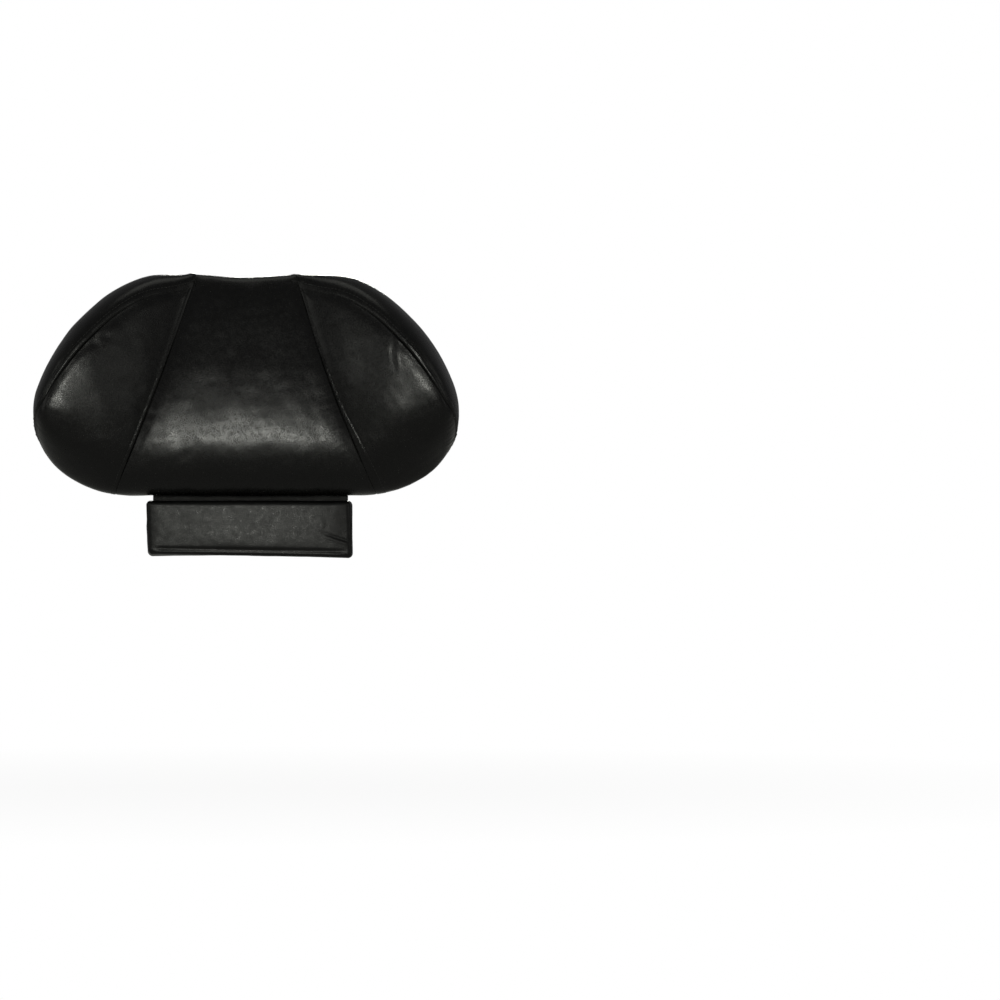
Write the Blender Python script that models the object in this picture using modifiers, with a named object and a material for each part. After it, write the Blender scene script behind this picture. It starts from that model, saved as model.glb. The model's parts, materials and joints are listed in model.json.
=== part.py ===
"""Backrest pad for a motorbike top box.

Two cushions hang together from a sewn flap. The main pad is a wide, domed lumbar cushion whose wings
curl forward, and the lower pad is a slim box cushion below it. Each is a plywood board with a foam on
its front and a vinyl cover that is wrapped round both and stapled to the back of the board. The main
cover is sewn from five panels: a centre between two dart seams, two wings, and two gussets that close
the sides of the wings. Tee nuts in the boards take the bolts that come through the wall of the box.

Units are metres. +X is to the right, +Z is up, and the front of the pad faces -Y. The origin is on the
rear face of the main board, in the middle of its four tee nuts.
"""

import math

import bmesh
import bpy
from mathutils import Vector

# Front outline of the main pad, from the top centre round to the bottom centre
TOP_RUN = 0.0835
HORN_RADIUS = 0.076
HORN_TURN = 23.0
SHOULDER_RADIUS = 0.134
SHOULDER_TURN = 15.0
FLANK_RADIUS = 0.196
FLANK_TURN = 32.0
HIP_RADIUS = 0.0745
HIP_TURN = 80.0
HEEL_RADIUS = 0.123
TOP_DIP = 0.0025
TOP_DIP_SPAN = 0.060

# Depth of the main foam in front of the rear face of its board
TOP_DEPTH = 0.034
LUMBAR_DEPTH = 0.060
LUMBAR_HEIGHT = 0.058
LEAN_POWER = 1.55
WING_RISE = 0.015
WING_CREST = 0.190
WING_LUMBAR_HEIGHT = 0.100
WING_LEAN_POWER = 1.9
WING_FALL_RADIUS = 0.130
EDGE_LINE_DEPTH = 0.027

# How far the front face takes to round off towards the outline
TOP_ROUND = 0.026
SIDE_ROUND = 0.020
BOTTOM_ROUND = 0.058
ROUND_POWER = 2.2

# Seams of the main cover
DART_TOP = 0.050
DART_FOOT = 0.130
DART_BOW = 0.003
SEAM_VALLEY = 0.0012
SEAM_VALLEY_WIDTH = 0.006
GUSSET_START_WIDTH = 0.010
GUSSET_END_WIDTH = 0.003
GUSSET_SWELL = 0.0165
GUSSET_FULLNESS = 0.6
GUSSET_TIP_DROP = 0.030
GUSSET_SLIP = 0.024
GUSSET_TIP_SHARE = 0.4
GUSSET_TIP_EASING = 3.0
SEAM_GAP = 0.001

# Sheet and board stock
VINYL = 0.0012
BOARD = 0.009
BOARD_INSET = 0.008
HEM = 0.020
HEM_MARGIN = 0.011
CLEARANCE = 0.0004

# Lower pad
LOWER_WIDTH = 0.205
LOWER_HEIGHT = 0.056
LOWER_DEPTH = 0.033
LOWER_DROP = 0.0065
LOWER_SHIFT = 0.003
LOWER_ROUND = 0.0065
LOWER_HEM = 0.013
LOWER_HEM_MARGIN = 0.003

# Flap between the two covers
FLAP_WIDTH = 0.196
FLAP_LAP = 0.018
FLAP_LOWER_LAP = 0.012

# Tee nuts
BOLT_HEIGHT = 0.105
BOLT_SPREAD_X = 0.200
BOLT_SPREAD_Z = 0.090
LOWER_BOLT_SPREAD = 0.130
NUT_BORE = 0.0052
NUT_BARREL = 0.0078
NUT_FLANGE = 0.0190
NUT_FLANGE_THICKNESS = 0.0014
NUT_LENGTH = 0.0080
NUT_PLAY = 0.0003

# Mesh density
CENTRE_COLUMNS = 6
WING_COLUMNS = 16
FRONT_ROWS = 14
GUSSET_ROWS = 4
EDGE_STEP = 0.35
END_CROWDING = 0.45
FOOT_CROWDING = 0.35
ROUND_STEPS = 24
CORNER_STEPS = 3

LAST_COLUMN = CENTRE_COLUMNS + WING_COLUMNS
SMOOTH_ANGLE = math.radians(35)
ON_OUTLINE = 1e-6


class Outline:
    """Half of the main pad's front outline, walked from the top centre to the bottom centre."""

    def __init__(self):
        turns = [HORN_TURN, SHOULDER_TURN, FLANK_TURN, HIP_TURN]
        turns.append(180.0 - sum(turns))
        radii = [HORN_RADIUS, SHOULDER_RADIUS, FLANK_RADIUS, HIP_RADIUS, HEEL_RADIUS]
        self.arcs = []
        heading = 0.0
        length = TOP_RUN
        spot = Vector((TOP_RUN, 0.0))
        for radius, turn in zip(radii, turns):
            centre = spot - radius * Vector((math.sin(heading), math.cos(heading)))
            end = heading + math.radians(turn)
            self.arcs.append((centre, radius, heading, end, length))
            spot = centre + radius * Vector((math.sin(end), math.cos(end)))
            length += radius * (end - heading)
            heading = end
        self.height = -spot.y
        self.bottom_run = spot.x
        self.length = length + spot.x
        self.widest = self.length_at_heading(math.pi / 2)

    def length_at_heading(self, heading):
        """Distance walked when the outline first points along a heading."""
        for centre, radius, start, end, length in self.arcs:
            if start <= heading <= end:
                return length + radius * (heading - start)
        return self.length

    def at(self, length):
        """Point (x, height above the bottom) and heading after walking a length."""
        if length < TOP_RUN:
            return Vector((length, self.height - dip(length))), 0.0
        for centre, radius, start, end, begin in self.arcs:
            if length <= begin + radius * (end - start):
                heading = start + (length - begin) / radius
                spot = centre + radius * Vector((math.sin(heading), math.cos(heading)))
                return spot + Vector((0.0, self.height)), heading
        return Vector((self.length - length, 0.0)), math.pi

    def inset(self, length, distance):
        """Point at a distance inside the outline."""
        spot, heading = self.at(length)
        return spot - distance * Vector((math.sin(heading), math.cos(heading)))

    def edge(self, spot):
        """Distance of an inner point from the outline, with the heading and the length at its foot."""
        x, height = abs(spot.x), spot.y
        best = (self.height, 0.0, 0.0)
        if x <= TOP_RUN:
            best = (self.height - dip(x) - height, 0.0, x)
        if x <= self.bottom_run:
            best = min(best, (height, math.pi, self.length - x))
        for centre, radius, start, end, begin in self.arcs:
            reach = Vector((x, height - self.height)) - centre
            heading = math.atan2(reach.x, reach.y)
            if start <= heading <= end:
                found = (radius - reach.length, heading, begin + radius * (heading - start))
                best = min(best, found)
        distance = best[0] if best[0] > ON_OUTLINE else 0.0
        return distance, best[1], best[2]


def dip(x):
    """How far the top edge sags between the two horns."""
    if abs(x) >= TOP_DIP_SPAN:
        return 0.0
    return TOP_DIP * math.cos(0.5 * math.pi * x / TOP_DIP_SPAN) ** 2


OUTLINE = Outline()
TOP = OUTLINE.height
TIP = OUTLINE.widest + GUSSET_TIP_DROP


def crown_length(column):
    """Walked length at which a column meets the upper outline."""
    if column <= CENTRE_COLUMNS:
        return DART_TOP * column / CENTRE_COLUMNS
    share = (column - CENTRE_COLUMNS) / WING_COLUMNS
    return DART_TOP + (TIP - DART_TOP) * share


def foot_length(column):
    """Walked length at which a column meets the lower outline."""
    if column <= CENTRE_COLUMNS:
        return OUTLINE.length - DART_FOOT * column / CENTRE_COLUMNS
    share = (column - CENTRE_COLUMNS) / WING_COLUMNS
    return OUTLINE.length - DART_FOOT + (TIP + DART_FOOT - OUTLINE.length) * share


def gusset_inset(length):
    """How far inside the outline the gusset seam runs, at a walked length."""
    share = (length - DART_TOP) / (OUTLINE.widest - DART_TOP)
    share = min(max(share, 0.0), 1.0)
    straight = GUSSET_START_WIDTH + (GUSSET_END_WIDTH - GUSSET_START_WIDTH) * share
    return straight + GUSSET_SWELL * math.sin(math.pi * share) ** GUSSET_FULLNESS


def gusset_band(inset, run):
    """How far down a column the gusset seam lies, drawn in where the columns shorten to the wing's tip."""
    tip = GUSSET_TIP_SHARE * run
    if min(inset, tip) <= 0.0:
        return 0.0
    return (inset**-GUSSET_TIP_EASING + tip**-GUSSET_TIP_EASING) ** (-1.0 / GUSSET_TIP_EASING)


def bow(share):
    """How far a dart seam bows towards the middle, at a share of its way up."""
    return DART_BOW * math.sin(math.pi * min(max(share, 0.0), 1.0))


def dart_x(height):
    """X of the dart seam at a height above the bottom."""
    top, _ = OUTLINE.at(DART_TOP)
    foot, _ = OUTLINE.at(OUTLINE.length - DART_FOOT)
    climb = (height - foot.y) / (top.y - foot.y)
    return foot.x + (top.x - foot.x) * climb - bow(climb)


def face_depth(spot):
    """Depth of the cushion's face at an inner point, before its edges round off."""
    start = min(dart_x(spot.y), 0.9 * WING_CREST)
    share = (abs(spot.x) - start) / (WING_CREST - start)
    share = min(max(share, 0.0), 1.0)
    lumbar = LUMBAR_HEIGHT + (WING_LUMBAR_HEIGHT - LUMBAR_HEIGHT) * share
    power = LEAN_POWER + (WING_LEAN_POWER - LEAN_POWER) * share
    climb = (spot.y - lumbar) / (TOP - lumbar)
    climb = min(max(climb, 0.0), 1.0)
    depth = LUMBAR_DEPTH - (LUMBAR_DEPTH - TOP_DEPTH) * climb**power
    fall = max(lumbar - spot.y, 0.0)
    depth -= share * fall**2 / (2.0 * WING_FALL_RADIUS)
    return depth + WING_RISE * math.sin(0.5 * math.pi * share)


def front_depth(spot):
    """Depth of the foam's front at an inner point, with its rounded edges and its seam valleys."""
    distance, heading, length = OUTLINE.edge(spot)
    up = max(math.cos(heading), 0.0) ** 2
    down = max(-math.cos(heading), 0.0) ** 2
    width = SIDE_ROUND + (TOP_ROUND - SIDE_ROUND) * up + (BOTTOM_ROUND - SIDE_ROUND) * down
    rest = 1.0 - min(distance / width, 1.0)
    rise = (1.0 - rest**ROUND_POWER) ** (1.0 / ROUND_POWER)
    depth = EDGE_LINE_DEPTH + (face_depth(spot) - EDGE_LINE_DEPTH) * rise
    valley = math.exp(-(((abs(spot.x) - dart_x(spot.y)) / SEAM_VALLEY_WIDTH) ** 2))
    if length > DART_TOP and length < TIP:
        off_seam = (distance - gusset_inset(length)) / SEAM_VALLEY_WIDTH
        valley = max(valley, math.exp(-(off_seam**2)))
    return depth - SEAM_VALLEY * rise * valley


def edge_share(depth):
    """Share of the way from the widest line to the rear at which the edge has a depth."""
    return 1.0 - depth / EDGE_LINE_DEPTH


def edge_point(length, share, extra=0.0):
    """Point on the edge of the cushion, from its widest line (share 0) to the rear (share 1)."""
    spot = OUTLINE.inset(length, BOARD_INSET * share**2 + extra)
    return Vector((spot.x, -EDGE_LINE_DEPTH * (1.0 - share), spot.y))


def crowded(share):
    """Share of the front at which a row lies, with the rows drawn together at the foot."""
    both_ends = END_CROWDING * math.sin(2.0 * math.pi * share) / (2.0 * math.pi)
    foot_only = FOOT_CROWDING * math.sin(math.pi * share) / math.pi
    return share - both_ends - foot_only


def skin_rows(rear_share, hem):
    """Rows of the skin, from the bottom rear round the front to the top rear."""
    edge = [EDGE_STEP, rear_share]
    hems = []
    if hem:
        edge.append(1.0)
        hems = [("hem", 1.0)]
    front = [("front", step / FRONT_ROWS) for step in range(FRONT_ROWS + 1)]
    gusset = [("gusset", step / GUSSET_ROWS) for step in range(1, GUSSET_ROWS + 1)]
    foot = [("foot " + kind, share) for kind, share in hems] + [("foot", share) for share in edge[::-1]]
    crown = [("crown", share) for share in edge] + [("crown " + kind, share) for kind, share in hems]
    return foot + front + gusset + crown


def skin_point(column, row):
    """Point of the cushion's skin at a column, counted from the centre, and a row."""
    kind, share = row
    index = abs(column)
    crown = crown_length(index)
    foot = foot_length(index)
    if kind in ("front", "gusset"):
        low, _ = OUTLINE.at(foot)
        high, heading = OUTLINE.at(crown)
        run = low - high
        lean = 1.0
        if run.length > 0.0:
            inward = -Vector((math.sin(heading), math.cos(heading)))
            lean = max(inward.dot(run.normalized()), 0.4)
        band = gusset_band(gusset_inset(crown) / lean, run.length)
        seam = high
        if run.length > 0.0:
            seam = high + run.normalized() * band
        if kind == "front":
            spot = low.lerp(seam, crowded(share))
        else:
            spot = seam.lerp(high, math.sin(0.5 * math.pi * share))
        if run.length > 0.0:
            near = index / CENTRE_COLUMNS
            if index > CENTRE_COLUMNS:
                near = (LAST_COLUMN - index) / WING_COLUMNS
            spot.x -= near * bow((spot - low).length / run.length)
        point = Vector((spot.x, -front_depth(spot), spot.y))
    else:
        slip = GUSSET_SLIP * share * max(index - CENTRE_COLUMNS, 0) / WING_COLUMNS
        length = (foot if kind.startswith("foot") else crown) + slip
        point = edge_point(length, share, HEM if kind.endswith("hem") else 0.0)
    return Vector((math.copysign(point.x, column), point.y, point.z - BOLT_HEIGHT))


def split_short(shape, faces):
    """Split quads along their short diagonal, so that pieces that nest have matching facets."""
    bmesh.ops.triangulate(shape, faces=faces, quad_method="SHORT_EDGE")


def skin_mesh(rows):
    """The cushion's skin as an open sheet, its faces marked with their panel's name."""
    sheet = bmesh.new()
    columns = 2 * LAST_COLUMN
    bmesh.ops.create_grid(sheet, x_segments=columns, y_segments=len(rows) - 1, size=1.0)
    panel = sheet.faces.layers.string.new("panel")
    places = {}
    for vert in sheet.verts:
        column = round((vert.co.x + 1.0) * LAST_COLUMN) - LAST_COLUMN
        places[vert] = (column, round((vert.co.y + 1.0) * 0.5 * (len(rows) - 1)))
    seam_row = rows.index(("front", 1.0))
    for face in sheet.faces:
        column = sum(places[vert][0] for vert in face.verts) / 4.0
        row = sum(places[vert][1] for vert in face.verts) / 4.0
        side = "right" if column > 0.0 else "left"
        name = "centre"
        if abs(column) > CENTRE_COLUMNS:
            name = ("gusset_" if row > seam_row else "wing_") + side
        face[panel] = name.encode()
    for vert, (column, row) in places.items():
        vert.co = skin_point(column, rows[row])
    bmesh.ops.remove_doubles(sheet, verts=sheet.verts, dist=1e-6)
    split_short(sheet, sheet.faces[:])
    sheet.normal_update()
    return sheet, panel


def material(name, colour, roughness, metallic=0.0):
    """A plain finish."""
    finish = bpy.data.materials.new(name)
    finish.use_nodes = True
    shader = finish.node_tree.nodes["Principled BSDF"]
    shader.inputs["Base Color"].default_value = (*colour, 1.0)
    shader.inputs["Roughness"].default_value = roughness
    shader.inputs["Metallic"].default_value = metallic
    finish.diffuse_color = (*colour, 1.0)
    return finish


def add_object(name, shape, finish, collection):
    """Put a bmesh into the scene as a named object, shaded smooth between its edges."""
    mesh = bpy.data.meshes.new(name)
    shape.to_mesh(mesh)
    shape.free()
    mesh.shade_smooth()
    mesh.set_sharp_from_angle(angle=SMOOTH_ANGLE)
    item = bpy.data.objects.new(name, mesh)
    if finish:
        mesh.materials.append(finish)
    collection.objects.link(item)
    return item


def add_thickness(item):
    """Give an open sheet of cover the thickness of the vinyl, on its outer side."""
    wall = item.modifiers.new("vinyl", "SOLIDIFY")
    wall.thickness = VINYL
    wall.offset = 1.0
    wall.use_even_offset = True
    return item


def trim_sheet(sheet, gap):
    """Draw a sheet's free edge in by half a seam gap."""
    rim = bmesh.ops.inset_region(
        sheet, faces=sheet.faces[:], thickness=gap / 2, use_boundary=True, use_even_offset=True
    )
    bmesh.ops.delete(sheet, geom=rim["faces"], context="FACES")


def main_foam(finish, collection):
    """The moulded foam of the main pad, flat where it lies on its board."""
    rows = skin_rows(edge_share(BOARD + CLEARANCE), hem=False)
    shape, _ = skin_mesh(rows)
    open_edges = [edge for edge in shape.edges if edge.is_boundary]
    bmesh.ops.contextual_create(shape, geom=open_edges)
    bmesh.ops.recalc_face_normals(shape, faces=shape.faces)
    return add_object("main_foam", shape, finish, collection)


def main_cover(panel_name, node, finish, collection):
    """One sewn panel of the main cover, out to its share of the stapled hem."""
    rows = skin_rows(edge_share(BOARD), hem=True)
    sheet, panel = skin_mesh(rows)
    for vert in sheet.verts:
        vert.co += vert.normal * CLEARANCE
    others = [face for face in sheet.faces if face[panel] != panel_name.encode()]
    bmesh.ops.delete(sheet, geom=others, context="FACES")
    trim_sheet(sheet, SEAM_GAP)
    return add_thickness(add_object(node, sheet, finish, collection))


def main_board(finish, collection):
    """The plywood board of the main pad, its edge chamfered to follow the wrapped cover."""
    right = [("crown", column) for column in range(LAST_COLUMN + 1)]
    right += [("foot", column) for column in range(LAST_COLUMN - 1, -1, -1)]
    left = [(kind, -column) for kind, column in right[-2:0:-1]]
    ring = right + left
    shape = bmesh.new()
    bmesh.ops.create_circle(shape, cap_ends=True, segments=len(ring), radius=1.0)
    front_share = edge_share(BOARD)
    front_spots = {}
    for vert, (kind, column) in zip(shape.verts[:], ring):
        vert.co = skin_point(column, (kind, 1.0))
        front_spots[vert.co.copy().freeze()] = skin_point(column, (kind, front_share))
    front = bmesh.ops.extrude_face_region(shape, geom=shape.faces[:], use_keep_orig=True)
    for vert in [item for item in front["geom"] if isinstance(item, bmesh.types.BMVert)]:
        vert.co = front_spots[vert.co.copy().freeze()]
    split_short(shape, [face for face in shape.faces if len(face.verts) == 4])
    bmesh.ops.recalc_face_normals(shape, faces=shape.faces)
    inner = [face for face in shape.faces if len(face.verts) > 4 and face.normal.y > 0.9]
    bmesh.ops.inset_region(shape, faces=inner, thickness=HEM + HEM_MARGIN, use_even_offset=True)
    return add_object("main_board", shape, finish, collection)


def rounded_box(size, centre, radius, open_rear=False):
    """A box whose front edges and corners are rounded, and whose rear rim is left sharp."""
    shape = bmesh.new()
    bmesh.ops.create_cube(shape, size=1.0)
    for vert in shape.verts:
        vert.co = Vector(vert.co[axis] * size[axis] + centre[axis] for axis in range(3))
    rear = centre[1] + 0.49 * size[1]
    soft = [edge for edge in shape.edges if min(vert.co.y for vert in edge.verts) < rear]
    bmesh.ops.bevel(
        shape,
        geom=soft,
        offset=radius,
        offset_type="OFFSET",
        affect="EDGES",
        segments=CORNER_STEPS,
        profile=0.5,
        material=-1,
    )
    if open_rear:
        back = [face for face in shape.faces if face.normal.y > 0.99]
        bmesh.ops.delete(shape, geom=back, context="FACES")
    return shape


def lower_centre(depth_front, depth_rear):
    """Middle of a slice of the lower pad between two depths."""
    height = -LOWER_DROP - LOWER_HEIGHT / 2 - BOLT_HEIGHT
    return Vector((LOWER_SHIFT, -(depth_front + depth_rear) / 2, height))


def lower_size(inset, depth_front, depth_rear):
    """Size of a slice of the lower pad that lies inside its outline by an inset."""
    return Vector((LOWER_WIDTH - 2 * inset, depth_front - depth_rear, LOWER_HEIGHT - 2 * inset))


def lower_foam(finish, collection):
    """The foam slab of the lower pad."""
    inset = VINYL + CLEARANCE
    front = LOWER_DEPTH - inset
    rear = BOARD + CLEARANCE
    shape = rounded_box(
        lower_size(inset, front, rear), lower_centre(front, rear), LOWER_ROUND - inset
    )
    return add_object("lower_foam", shape, finish, collection)


def lower_board(finish, collection):
    """The plywood board of the lower pad."""
    inset = VINYL + CLEARANCE
    size = lower_size(inset, BOARD, 0.0)
    shape = bmesh.new()
    bmesh.ops.create_cube(shape, size=1.0)
    centre = lower_centre(BOARD, 0.0)
    for vert in shape.verts:
        vert.co = Vector(vert.co[axis] * size[axis] + centre[axis] for axis in range(3))
    rear = [face for face in shape.faces if face.normal.y > 0.99]
    margin = LOWER_HEM + LOWER_HEM_MARGIN
    bmesh.ops.inset_region(shape, faces=rear, thickness=margin, use_even_offset=True)
    corners = [edge for edge in shape.edges if abs(edge.verts[0].co.y - edge.verts[1].co.y) > BOARD / 2]
    bmesh.ops.bevel(
        shape,
        geom=corners,
        offset=LOWER_ROUND - inset,
        offset_type="OFFSET",
        affect="EDGES",
        segments=CORNER_STEPS,
        profile=0.5,
        material=-1,
    )
    return add_object("lower_board", shape, finish, collection)


def lower_cover(finish, collection):
    """The cover of the lower pad: one sheet over the front and round the sides to its hem."""
    front = LOWER_DEPTH - VINYL
    rear = -CLEARANCE
    size = lower_size(VINYL, front, rear)
    sheet = rounded_box(size, lower_centre(front, rear), LOWER_ROUND - VINYL, open_rear=True)
    rim = [edge for edge in sheet.edges if edge.is_boundary]
    hem = bmesh.ops.extrude_edge_only(sheet, edges=rim)
    fresh = [item for item in hem["geom"] if isinstance(item, bmesh.types.BMVert)]
    middle = lower_centre(front, rear)
    scale_x = 1.0 - 2 * LOWER_HEM / size.x
    scale_z = 1.0 - 2 * LOWER_HEM / size.z
    for vert in fresh:
        vert.co.x = middle.x + (vert.co.x - middle.x) * scale_x
        vert.co.z = middle.z + (vert.co.z - middle.z) * scale_z
    bmesh.ops.recalc_face_normals(sheet, faces=sheet.faces)
    return add_thickness(add_object("lower_cover", sheet, finish, collection))


def connecting_flap(finish, collection):
    """The strip of vinyl that joins the rear hems of the two covers."""
    rear = CLEARANCE + VINYL
    top = BOARD_INSET + FLAP_LAP
    bottom = -LOWER_DROP - VINYL - FLAP_LOWER_LAP
    sheet = bmesh.new()
    bmesh.ops.create_grid(sheet, x_segments=1, y_segments=1, size=0.5)
    for vert in sheet.verts:
        height = bottom + (top - bottom) * (vert.co.y + 0.5)
        place = LOWER_SHIFT + FLAP_WIDTH * vert.co.x
        vert.co = Vector((place, rear + CLEARANCE + VINYL, height - BOLT_HEIGHT))
    bmesh.ops.recalc_face_normals(sheet, faces=sheet.faces)
    if sheet.faces[:][0].normal.y > 0.0:
        bmesh.ops.reverse_faces(sheet, faces=sheet.faces)
    return add_thickness(add_object("connecting_flap", sheet, finish, collection))


def turned(name, profile, closed, place, finish, collection):
    """A turned piece: a profile of (radius, height) spun round an axis that points to the front."""
    shape = bmesh.new()
    verts = [shape.verts.new((radius, 0.0, height)) for radius, height in profile]
    for first, second in zip(verts, verts[1:]):
        shape.edges.new((first, second))
    if closed:
        shape.edges.new((verts[-1], verts[0]))
    item = add_object(name, shape, finish, collection)
    screw = item.modifiers.new("turn", "SCREW")
    screw.steps = ROUND_STEPS
    screw.render_steps = ROUND_STEPS
    screw.use_merge_vertices = True
    screw.merge_threshold = 1e-6
    item.location = place
    item.rotation_euler = (math.pi / 2, 0.0, 0.0)
    return item


def nut_places():
    """Name and place of each tee nut, on the rear plane of its board."""
    places = {}
    for row, height in (("upper", BOLT_SPREAD_Z / 2), ("lower", -BOLT_SPREAD_Z / 2)):
        for side, sign in (("left", -1), ("right", 1)):
            places[f"main_tee_nut_{row}_{side}"] = Vector((sign * BOLT_SPREAD_X / 2, 0.0, height))
    middle = lower_centre(0.0, 0.0)
    for side, sign in (("left", -1), ("right", 1)):
        places[f"lower_tee_nut_{side}"] = middle + Vector((sign * LOWER_BOLT_SPREAD / 2, 0.0, 0.0))
    return places


def tee_nut(name, place, finish, collection):
    """A flanged nut, let into the front of its board with its barrel open to the rear."""
    top = BOARD - NUT_PLAY
    profile = [
        (NUT_BORE / 2, top),
        (NUT_FLANGE / 2, top),
        (NUT_FLANGE / 2, top - NUT_FLANGE_THICKNESS),
        (NUT_BARREL / 2, top - NUT_FLANGE_THICKNESS),
        (NUT_BARREL / 2, top - NUT_LENGTH),
        (NUT_BORE / 2, top - NUT_LENGTH),
    ]
    return turned(name, profile, True, place, finish, collection)


def bore_board(board, place, collection):
    """Cut the stepped hole of one tee nut through a board."""
    floor = BOARD - 2 * NUT_PLAY - NUT_FLANGE_THICKNESS
    barrel = NUT_BARREL / 2 + NUT_PLAY
    flange = NUT_FLANGE / 2 + NUT_PLAY
    beyond = BOARD / 2
    profile = [
        (0.0, BOARD + beyond),
        (flange, BOARD + beyond),
        (flange, floor),
        (barrel, floor),
        (barrel, -beyond),
        (0.0, -beyond),
    ]
    cutter = turned("nut_hole", profile, False, place, None, collection)
    cutter.hide_render = True
    cutter.display_type = "WIRE"
    hole = board.modifiers.new("nut_hole", "BOOLEAN")
    hole.operation = "DIFFERENCE"
    hole.object = cutter


def build():
    """Make every piece of the backrest."""
    for item in list(bpy.data.objects):
        bpy.data.objects.remove(item)
    pieces = bpy.data.collections.new("top_box_backrest_pad")
    cutters = bpy.data.collections.new("cutters")
    bpy.context.scene.collection.children.link(pieces)
    bpy.context.scene.collection.children.link(cutters)

    vinyl = material("black_vinyl", (0.018, 0.018, 0.017), 0.42)
    flap_vinyl = material("flap_vinyl", (0.014, 0.014, 0.014), 0.6)
    foam = material("moulded_foam", (0.72, 0.66, 0.48), 0.95)
    plywood = material("plywood", (0.55, 0.38, 0.22), 0.7)
    steel = material("zinc_plated_steel", (0.66, 0.66, 0.63), 0.35, metallic=1.0)

    main_foam(foam, pieces)
    lower_foam(foam, pieces)
    main_cover("centre", "main_cover_centre", vinyl, pieces)
    for side in ("left", "right"):
        main_cover(f"wing_{side}", f"main_cover_wing_{side}", vinyl, pieces)
        main_cover(f"gusset_{side}", f"main_cover_gusset_{side}", vinyl, pieces)
    lower_cover(vinyl, pieces)
    connecting_flap(flap_vinyl, pieces)
    boards = {"main": main_board(plywood, pieces), "lower": lower_board(plywood, pieces)}
    for name, place in nut_places().items():
        tee_nut(name, place, steel, pieces)
        bore_board(boards[name.split("_")[0]], place, cutters)


build()
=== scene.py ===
"""Dressed model of a motorbike top box backrest pad.

Two black vinyl cushions: a wide main pad whose wings curl forward, sewn from five panels, and a slim lower
pad that hangs under it from a flap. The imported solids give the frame. This script gives the covers, foams,
seams, stitches, staples, finishes and the studio round them.

Units are metres. +X is to the right, +Z is up, the front faces -Y and the covers are stapled to the rear of
two boards that lie on the plane y = 0.
"""

from __future__ import annotations

import json
import logging
import math
from collections.abc import Callable, Iterator, Sequence
from dataclasses import dataclass, field
from enum import Enum

import bmesh
import bpy
import numpy as np
from mathutils import Matrix, Vector
from mathutils.bvhtree import BVHTree

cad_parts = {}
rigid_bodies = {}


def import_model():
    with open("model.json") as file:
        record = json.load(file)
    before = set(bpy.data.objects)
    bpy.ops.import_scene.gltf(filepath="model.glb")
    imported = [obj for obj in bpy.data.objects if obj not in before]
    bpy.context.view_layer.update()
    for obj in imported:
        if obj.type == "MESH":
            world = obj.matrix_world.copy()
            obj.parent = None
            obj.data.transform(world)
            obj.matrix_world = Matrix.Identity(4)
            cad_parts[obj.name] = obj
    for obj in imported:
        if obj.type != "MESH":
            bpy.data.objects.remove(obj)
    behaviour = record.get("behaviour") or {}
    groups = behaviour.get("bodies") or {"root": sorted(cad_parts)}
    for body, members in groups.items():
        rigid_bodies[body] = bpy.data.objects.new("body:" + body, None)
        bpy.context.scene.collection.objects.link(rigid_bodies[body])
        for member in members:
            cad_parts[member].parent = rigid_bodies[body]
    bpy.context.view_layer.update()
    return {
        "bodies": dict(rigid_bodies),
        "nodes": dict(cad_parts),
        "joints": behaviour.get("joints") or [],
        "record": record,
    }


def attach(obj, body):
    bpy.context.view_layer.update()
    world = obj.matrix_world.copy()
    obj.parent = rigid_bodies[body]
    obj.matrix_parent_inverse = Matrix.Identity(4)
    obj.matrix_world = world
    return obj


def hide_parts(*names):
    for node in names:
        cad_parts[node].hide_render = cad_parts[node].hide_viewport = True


LOG = logging.getLogger("backrest")
MM = 0.001
TINY = 1e-9
BODY = "root"
Array = np.ndarray
Shape = bmesh.types.BMesh
Socket = bpy.types.NodeSocket
Colour = tuple[float, float, float]

# Height of the origin above the main pad's bottom edge
BOLT_HEIGHT = 0.105

# The photograph's frontal view: one pixel is one millimetre on the pad
PIXEL = 0.001
PHOTO_CENTRE_PX = 246.2
PHOTO_BOTTOM_PX = 494.0


class Side(Enum):
    """The two sides of the pad, as seen from the front."""

    LEFT = -1
    RIGHT = 1

    @property
    def word(self) -> str:
        """The side's name in lower case."""
        return self.name.lower()


class Slot(Enum):
    """Names of the record's material slots, which the code here does not use."""

    VINYL = "vinyl"
    FLAP = "flap_vinyl"
    FOAM = "foam"
    STEEL = "zinc_steel"


class Section(Enum):
    """Stretches of a strip of cover, from the rear at the bottom round the front to the rear at the top."""

    FOOT_HEM = 0
    FOOT_EDGE = 1
    FRONT = 2
    GUSSET = 3
    CROWN_EDGE = 4
    CROWN_HEM = 5


def photo_x(pixel: float) -> float:
    """X in metres of a pixel column of the frontal view."""
    return (pixel - PHOTO_CENTRE_PX) * PIXEL


def photo_level(pixel: float) -> float:
    """Height above the main pad's bottom edge of a pixel row of the frontal view."""
    return (PHOTO_BOTTOM_PX - pixel) * PIXEL


def graded(count: int, at_start: float, at_end: float) -> Array:
    """Shares from 0 to 1 whose spacing is finer towards chosen ends.

    Args:
        count: Number of intervals.
        at_start: How much finer the spacing is at the start, from 0 to below 1.
        at_end: The same at the end.

    Returns:
        count + 1 rising shares.
    """
    even = np.linspace(0.0, 1.0, count + 1)
    both = min(at_start, at_end)
    shares = even - both * np.sin(2 * np.pi * even) / (2 * np.pi)
    shares += (at_end - both) * np.sin(np.pi * even) / np.pi
    shares -= (at_start - both) * np.sin(np.pi * even) / np.pi
    return np.clip(shares, 0.0, 1.0)


def unit(vectors: Array) -> Array:
    """Vectors scaled to length one, with zero vectors left alone."""
    length = np.linalg.norm(vectors, axis=-1, keepdims=True)
    return vectors / np.where(length > 1e-12, length, 1.0)


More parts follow.
